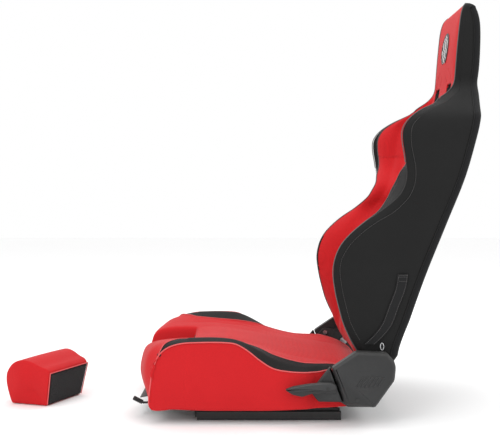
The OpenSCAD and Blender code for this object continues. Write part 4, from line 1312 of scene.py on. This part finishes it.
    def links(self) -> None:
        """Builds the long wire links at the foot of the straps."""
        lines = []
        for side in Side:
            turn = [2 * math.pi * k / 32 for k in range(33)]
            lines.append(np.array([(self.pivot[0] + 35 + 3.6 * math.cos(t),
                                    side.value * (258.4 + 1.2 * math.cos(t)),
                                    self.pivot[1] + 73 + 8.0 * math.sin(t)) for t in turn]))
        dress(tube("strap_links", lines, 1.2, 8), "zinc", Slot.ZINC, self.body, ["strap_rings"])

    STRAP_LINE = [(83, 240), (77, 205), (62, 165), (47, 125), (27, 98), (6, 78)]

    def strap(self, side: Side, width: float = 24.0, inner: float = 255.0, outer: float = 257.2) -> None:
        """Builds the webbing on one side, with its folded hem and its box of stitches."""
        line = evenly(spline(self.STRAP_LINE, 8), 5)
        count = len(line)
        across = [-1.0, -0.93, -0.6, -0.2, 0.2, 0.6, 0.93, 1.0]
        rows = []
        for i, (x, z) in enumerate(line):
            hem = 1.1 if i < 4 else 0.0
            ring = []
            for a in across:
                dip = 0.7 if abs(a) > 0.95 else 0.0
                ring.append((self.pivot[0] + x + a * width / 2, side.value * (outer + hem - dip),
                             self.pivot[1] + z))
            for a in reversed(across):
                dip = 0.5 if abs(a) > 0.95 else 0.0
                ring.append((self.pivot[0] + x + a * width / 2, side.value * (inner + dip),
                             self.pivot[1] + z))
            rows.append(ring)
        size = len(rows[0])
        points = [p for ring in rows for p in ring]
        faces = [(i * size + k, i * size + (k + 1) % size, (i + 1) * size + (k + 1) % size,
                  (i + 1) * size + k)
                 for i in range(count - 1) for k in range(size)]
        faces += [tuple(range(size)), tuple((count - 1) * size + k for k in range(size))]
        obj = new_object(f"side_strap_webbing_{side.word}", points, faces, smooth=False)
        smooth_by_angle(obj)
        dress(obj, "webbing", Slot.WEBBING, self.body, [f"side_strap_{side.word}"])
        y = side.value * (outer + 0.25)
        rows_of = []
        for a in (-0.82, 0.82):
            rows_of.append(np.array([(self.pivot[0] + x + a * width / 2,
                                      y + side.value * (1.1 if i < 4 else 0), self.pivot[1] + z)
                                     for i, (x, z) in enumerate(line)]))
        for dz in (-2, -6, -16):
            x, z = line[0]
            rows_of.append(np.array([(self.pivot[0] + x + a * width / 2, y + side.value * 1.0,
                                      self.pivot[1] + z + dz)
                                     for a in (-0.8, 0.0, 0.8)]))
        dress(stitches(f"strap_stitching_{side.word}", rows_of, 4.2, 3.0, 0.5), "thread", Slot.WEBBING,
              self.body)


@dataclass
class Recliner:
    """The recliner's covers, front trims and the recline handle."""

    body: str = "carriage"
    cover_in: float = 266.0
    cover_out: float = 292.0
    trim_out: float = 278.0
    handle_in: float = 280.0

    COVER = [(198, 174), (268, 171), (284, 153), (288, 138), (285, 108), (241, 46), (174, 53), (142, 136)]
    TRIM = [(95, 78), (110, 101), (139.5, 138), (171, 56), (112, 57)]
    HANDLE = [(35, 87), (52, 94), (84, 99.5), (118, 103), (142, 103.5), (151, 99), (154, 91), (151, 81),
              (138, 77.5),
              (124, 81.5), (110, 77.5), (96, 78.5), (74, 71), (52, 76)]

    def build(self) -> None:
        """Builds and dresses the mouldings of both sides."""
        for side in Side:
            cover = plate(f"recliner_cap_{side.word}", self.COVER, self.cover_in, self.cover_out, side, 7.0,
                          5.0)
            smooth_by_angle(cover, 25)
            dress(cover, "cover", Slot.COVER, self.body, [f"recliner_cover_{side.word}"])
            self.ribs(side)
            trim = plate(f"front_cap_{side.word}", self.TRIM, self.cover_in, self.trim_out, side, 3.0, 4.0)
            smooth_by_angle(trim, 25)
            dress(trim, "cover", Slot.COVER, self.body, [f"front_trim_{side.word}"])
            recess = plate(f"front_cap_recess_{side.word}", [(108, 92), (137, 126), (141, 104), (128, 100)],
                           self.trim_out - 0.4,
                           self.trim_out + 0.6, side, 0.4, 1.5)
            dress(recess, "recess", Slot.COVER, self.body)
        self.handle()

    def ribs(self, side: Side) -> None:
        """Builds the raised slanted ribs on the face of a cover."""
        lines = []
        y = side.value * (self.cover_out + 0.1)
        for k in range(6):
            x = 206 + 9.5 * k
            reach = 26 - 2.0 * abs(k - 2.5)
            lines.append(np.array([(x - 0.35 * reach, y, 106 - reach / 2), (x, y, 106),
                                   (x + 0.35 * reach, y, 106 + reach / 2)]))
        obj = tube(f"cover_ribs_{side.word}", [evenly(line, 4) for line in lines], 1.6, 8)
        dress(obj, "cover", Slot.COVER, self.body)

    def handle(self) -> None:
        """Builds the recline handle: a swept upper shell on a darker scalloped grip."""
        obj = plate("recline_lever", self.HANDLE, self.handle_in, self.cover_out - 1.0, Side.LEFT, 1.6, 3.5)
        smooth_by_angle(obj, 25)
        dress(obj, "recess", Slot.COVER, "recline_lever", ["recline_handle"])
        upper = [(38, 87.4), (54, 93), (84, 98.2), (118, 101.8), (141, 102.2), (149, 98), (151.5, 91),
                 (147, 87.2), (126, 85.4),
                 (104, 87.6), (86, 84.2), (62, 83)]
        shell = plate("recline_lever_shell", upper, self.cover_out - 3.0, self.cover_out + 0.9, Side.LEFT,
                      1.2, 3.0)
        smooth_by_angle(shell, 25)
        dress(shell, "lever", Slot.COVER, "recline_lever")


@dataclass
class ReleaseGrip:
    """The ribbed rubber grip of the slide release, with its collar."""

    body: str = "slide_release"
    tip: tuple[float, float] = (-325.0, 45.0)
    root: tuple[float, float] = (-303.0, 34.0)
    radius: float = 5.6

    def build(self) -> None:
        """Builds and dresses the grip."""
        lo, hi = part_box("slide_release_grip")
        centre = (lo + hi) / 2 / MM
        LOG.info("grip box %s %s", [round(c / MM, 1) for c in lo], [round(c / MM, 1) for c in hi])
        a, b = np.array([self.root[0], centre.y, self.root[1]]), np.array([self.tip[0], centre.y,
                                                                           self.tip[1]])
        axis = (b - a) / np.linalg.norm(b - a)
        reach = np.linalg.norm(b - a)
        profile = [(0.0, 0.0), (0.0, 4.6), (0.8, 5.6), (2.2, 5.6), (2.6, 4.4), (3.2, 4.4)]
        s = 3.6
        while s < reach - 4:
            profile += [(s, self.radius), (s + 1.2, self.radius), (s + 1.5, self.radius - 0.8),
                        (s + 2.2, self.radius - 0.8)]
            s += 2.6
        profile += [(reach - 1.2, self.radius), (reach - 0.2, self.radius - 1.6), (reach, 0.0)]
        side = np.cross(axis, [0, 1, 0])
        up = np.cross(side, axis)
        sides = 28
        points, faces = [], []
        for at, r in profile:
            for k in range(sides):
                t = 2 * math.pi * k / sides
                points.append(a + axis * at + max(r, 0.01) * (math.cos(t) * side + math.sin(t) * up))
        for i in range(len(profile) - 1):
            for k in range(sides):
                p, q = i * sides + k, i * sides + (k + 1) % sides
                faces.append((p, q, q + sides, p + sides))
        obj = new_object("release_grip_sleeve", points, faces)
        smooth_by_angle(obj)
        dress(obj, "rubber", Slot.RUBBER, self.body, ["slide_release_grip"])


@dataclass
class ThighInsert:
    """The lift-out thigh insert: a red padded block with a black loop panel on its back."""

    body: str = "insert"
    place_x: float = -570.0
    turn: float = -24.5
    width: float = 146.0

    OUTLINE = [(-50, 1), (-10, 1), (30, 1), (47.5, 1.5), (53, 30), (58, 58), (64, 84), (56, 95), (38, 101),
               (12, 112), (-12, 115),
               (-38, 106), (-57, 83), (-62, 57), (-59, 30), (-54, 8)]

    def half_width(self, x: float, z: float) -> float:
        """Returns the insert's half width at a place of its outline."""
        return self.width / 2 + 0.13 * z + 0.125 * (50 - x)

    def placed(self, points: np.ndarray) -> np.ndarray:
        """Turns points of the insert's own frame into points of the seat."""
        a = math.radians(self.turn)
        p = np.asarray(points, float)
        return np.stack([p[:, 0] * math.cos(a) - p[:, 1] * math.sin(a) + self.place_x,
                         p[:, 0] * math.sin(a) + p[:, 1] * math.cos(a), p[:, 2]], axis=1)

    def build(self) -> None:
        """Builds and dresses the insert's pieces."""
        outline = spline(self.OUTLINE + self.OUTLINE[:1], 5)[:-1]
        count = len(outline)
        centre = np.array([2.0, 52.0])
        rings = [(0.35, 1.0), (0.7, 1.0), (0.9, 1.0), (0.975, 0.995), (1.0, 0.975), (1.0, 0.93), (1.0, 0.8),
                 (1.0, 0.55), (1.0, 0.3), (1.0, 0.0)]
        rows = rings + [(shrink, -share) for shrink, share in reversed(rings[:-1])]
        points, faces = [], []
        for shrink, share in rows:
            for x, z in outline:
                q = centre + (np.array([x, z]) - centre) * shrink
                puff = 1 + 0.018 * (1 - share ** 2) * (1 if z > 20 else 0)
                x2, z2 = centre[0] + (q[0] - centre[0]) * puff, centre[1] + (q[1] - centre[1]) * puff
                crown = 2.5 * (1 - ((shrink - 0.35) / 0.65) ** 2) if abs(share) > 0.97 and shrink < 1 else 0.0
                y = share * (self.half_width(x, z) - 1.0) + math.copysign(crown, share)
                points.append((x2, y, max(z2, 0.6)))
        for i in range(len(rows) - 1):
            for k in range(count):
                a, b = i * count + k, i * count + (k + 1) % count
                faces.append((a, b, b + count, a + count))
        points += [(centre[0], self.half_width(*centre) + 1.5, centre[1]),
                   (centre[0], -self.half_width(*centre) - 1.5, centre[1])]
        last = len(rows) - 1
        for k in range(count):
            faces.append((k, (k + 1) % count, len(points) - 2))
            faces.append((last * count + k, last * count + (k + 1) % count, len(points) - 1))
        body = new_object("insert_cover", self.placed(np.array(points)), faces)
        sub = body.modifiers.new("smooth", "SUBSURF")
        sub.levels = sub.render_levels = 1
        apply_modifiers(body)
        dress(body, "red", Slot.RED, self.body, ["insert_pad"])
        self.loop_panel()
        self.piping(outline)

    def loop_panel(self) -> None:
        """Builds the loop panel on the insert's back."""
        cols, rows = 28, 14
        points = []
        for layer in (0, 1):
            for r in range(rows + 1):
                z = 2.5 + (83.5 - 2.5) * r / rows
                x = 48 + 0.2 * z
                half = self.half_width(x, z) - 3.5
                for c in range(cols + 1):
                    edge = min(c, cols - c, r, rows - r)
                    out = (0.6 if edge == 0 else 1.9) if layer else -1.0
                    points.append((x + out, -half + 2 * half * c / cols, z))
        obj = new_object("insert_loop_face", self.placed(np.array(points)), slab_faces(cols, rows))
        dress(obj, "tape", Slot.TAPE, self.body, ["insert_loop_panel"])

    def piping(self, outline: np.ndarray) -> None:
        """Builds the piping round the loop panel and round the insert's ends."""
        back = []
        for z in np.linspace(3, 84, 16):
            x = 49.5 + 0.2 * z
            back.append((x, -(self.half_width(x, z) - 1.5), z))
        top = [(66.5, y, 85.2)
               for y in np.linspace(-self.half_width(66, 85) + 2, self.half_width(66, 85) - 2, 24)]
        other = [(x, -y, z) for x, y, z in reversed(back)]
        line = evenly(np.array(back + top + other), 4)
        # The pale pink of this piping cord is a painted highlight.
        dress(tube("insert_back_piping", [self.placed(line)], 1.3), "pink_cord_painted_highlight", Slot.RED, self.body)


class Ironwork:
    """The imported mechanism, which keeps its meshes and gets its finishes here."""

    FINISH = {
        "lower_rail_left": "rail", "lower_rail_right": "rail", "rail_end_stops": "rail",
        "upper_rail_left": "rail",
        "upper_rail_right": "rail", "glide_pads": "nylon", "rail_spacers": "frame", "rail_bolts": "zinc",
        "base_frame": "frame",
        "seat_pan": "frame", "recliner_plate_left": "frame", "recliner_plate_right": "frame",
        "outer_plate_left": "frame",
        "outer_plate_right": "frame", "plate_spacers": "zinc", "pivot_bolts": "zinc", "pawl_pins": "zinc",
        "clock_spring_left": "spring", "clock_spring_right": "spring", "cover_screws": "recess",
        "handle_screw": "rail",
        "release_shaft": "zinc", "release_cams": "zinc", "shaft_retainers": "zinc", "pawl_left": "zinc",
        "pawl_right": "zinc",
        "slide_release_bar": "rail", "slide_locks": "zinc", "recliner_arm_left": "frame",
        "recliner_arm_right": "frame",
        "back_frame": "frame", "back_springs": "spring", "harness_slot_liners": "recess",
        "insert_foot": "rubber"}

    def dress(self) -> None:
        """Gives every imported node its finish."""
        for node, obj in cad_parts.items():
            finish = self.FINISH.get(node)
            if finish is None:
                if not obj.hide_render:
                    LOG.warning("node %s has no finish", node)
                continue
            material = Finishes.get(finish)
            if not obj.material_slots:
                obj.data.materials.append(material)
            for place in obj.material_slots:
                place.material = material
            LOG.info("node %s finished as %s", node, finish)


@dataclass
class Studio:
    """The pale floor, the soft lights and the camera."""

    camera_at: tuple[float, float, float] = (-0.045, -2.270, 0.538)
    tilt: float = 88.3
    lens: float = 63.0

    def build(self) -> None:
        """Builds the studio round the seat."""
        self.floor()
        self.light("key", (-1.6, -2.6, 2.6), (0.05, 0.0, 0.35), 1.6, 29.0)
        self.light("fill", (2.4, -2.2, 1.2), (0.1, 0.0, 0.4), 1.8, 12.0)
        self.light("top", (0.1, 0.2, 3.0), (0.1, 0.0, 0.2), 2.2, 24.0)
        self.light("rim", (1.6, 2.4, 2.2), (0.2, 0.0, 0.5), 1.6, 16.0)
        world = bpy.data.worlds.new("studio")
        world.use_nodes = True
        world.node_tree.nodes["Background"].inputs[0].default_value = (1.0, 1.0, 1.0, 1.0)
        world.node_tree.nodes["Background"].inputs[1].default_value = 1.0
        bpy.context.scene.world = world
        bpy.context.scene.view_settings.view_transform = "Standard"
        data = bpy.data.cameras.new("camera")
        data.lens, data.sensor_width = self.lens, 36.0
        camera = bpy.data.objects.new("camera", data)
        camera.location = self.camera_at
        camera.rotation_euler = (math.radians(self.tilt), 0, 0)
        bpy.context.scene.collection.objects.link(camera)
        bpy.context.scene.camera = camera

    def floor(self) -> None:
        """Builds the floor."""
        mesh = bpy.data.meshes.new("floor")
        mesh.from_pydata([(-8, -8, -0.0006), (8, -8, -0.0006), (8, 8, -0.0006), (-8, 8, -0.0006)], [],
                         [(0, 1, 2, 3)])
        floor = bpy.data.objects.new("floor", mesh)
        bpy.context.scene.collection.objects.link(floor)
        material, n, shader = new_material("studio_floor")
        cloud = n.add("ShaderNodeTexNoise", {"Scale": 0.8, "Detail": 2.0}).outputs[0]
        material.node_tree.links.new(n.mix(n.math("MULTIPLY", cloud, 0.15), (0.97, 0.97, 0.97, 1),
                                           (0.93, 0.93, 0.93, 1)),
                                     shader.inputs["Base Color"])
        shader.inputs["Roughness"].default_value = 0.9
        mesh.materials.append(material)

    def light(self, name: str, place: Point, target: Point, size: float, power: float) -> None:
        """Adds a soft area light that points at target."""
        data = bpy.data.lights.new(name, "AREA")
        data.shape, data.size, data.energy = "SQUARE", size, power
        lamp = bpy.data.objects.new(name, data)
        lamp.location = place
        lamp.rotation_euler = (Vector(target) - Vector(place)).to_track_quat("-Z", "Y").to_euler()
        bpy.context.scene.collection.objects.link(lamp)


def main() -> None:
    """Builds the seat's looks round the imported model, piece by piece."""
    logging.basicConfig(level=logging.INFO, format="%(name)s: %(message)s")
    Studio().build()
    for part in (Cushion(), Backrest(), Recliner(), ReleaseGrip(), ThighInsert()):
        part.build()
        LOG.info("built %s", type(part).__name__)
    Ironwork().dress()


if __name__ == "__main__":
    main()
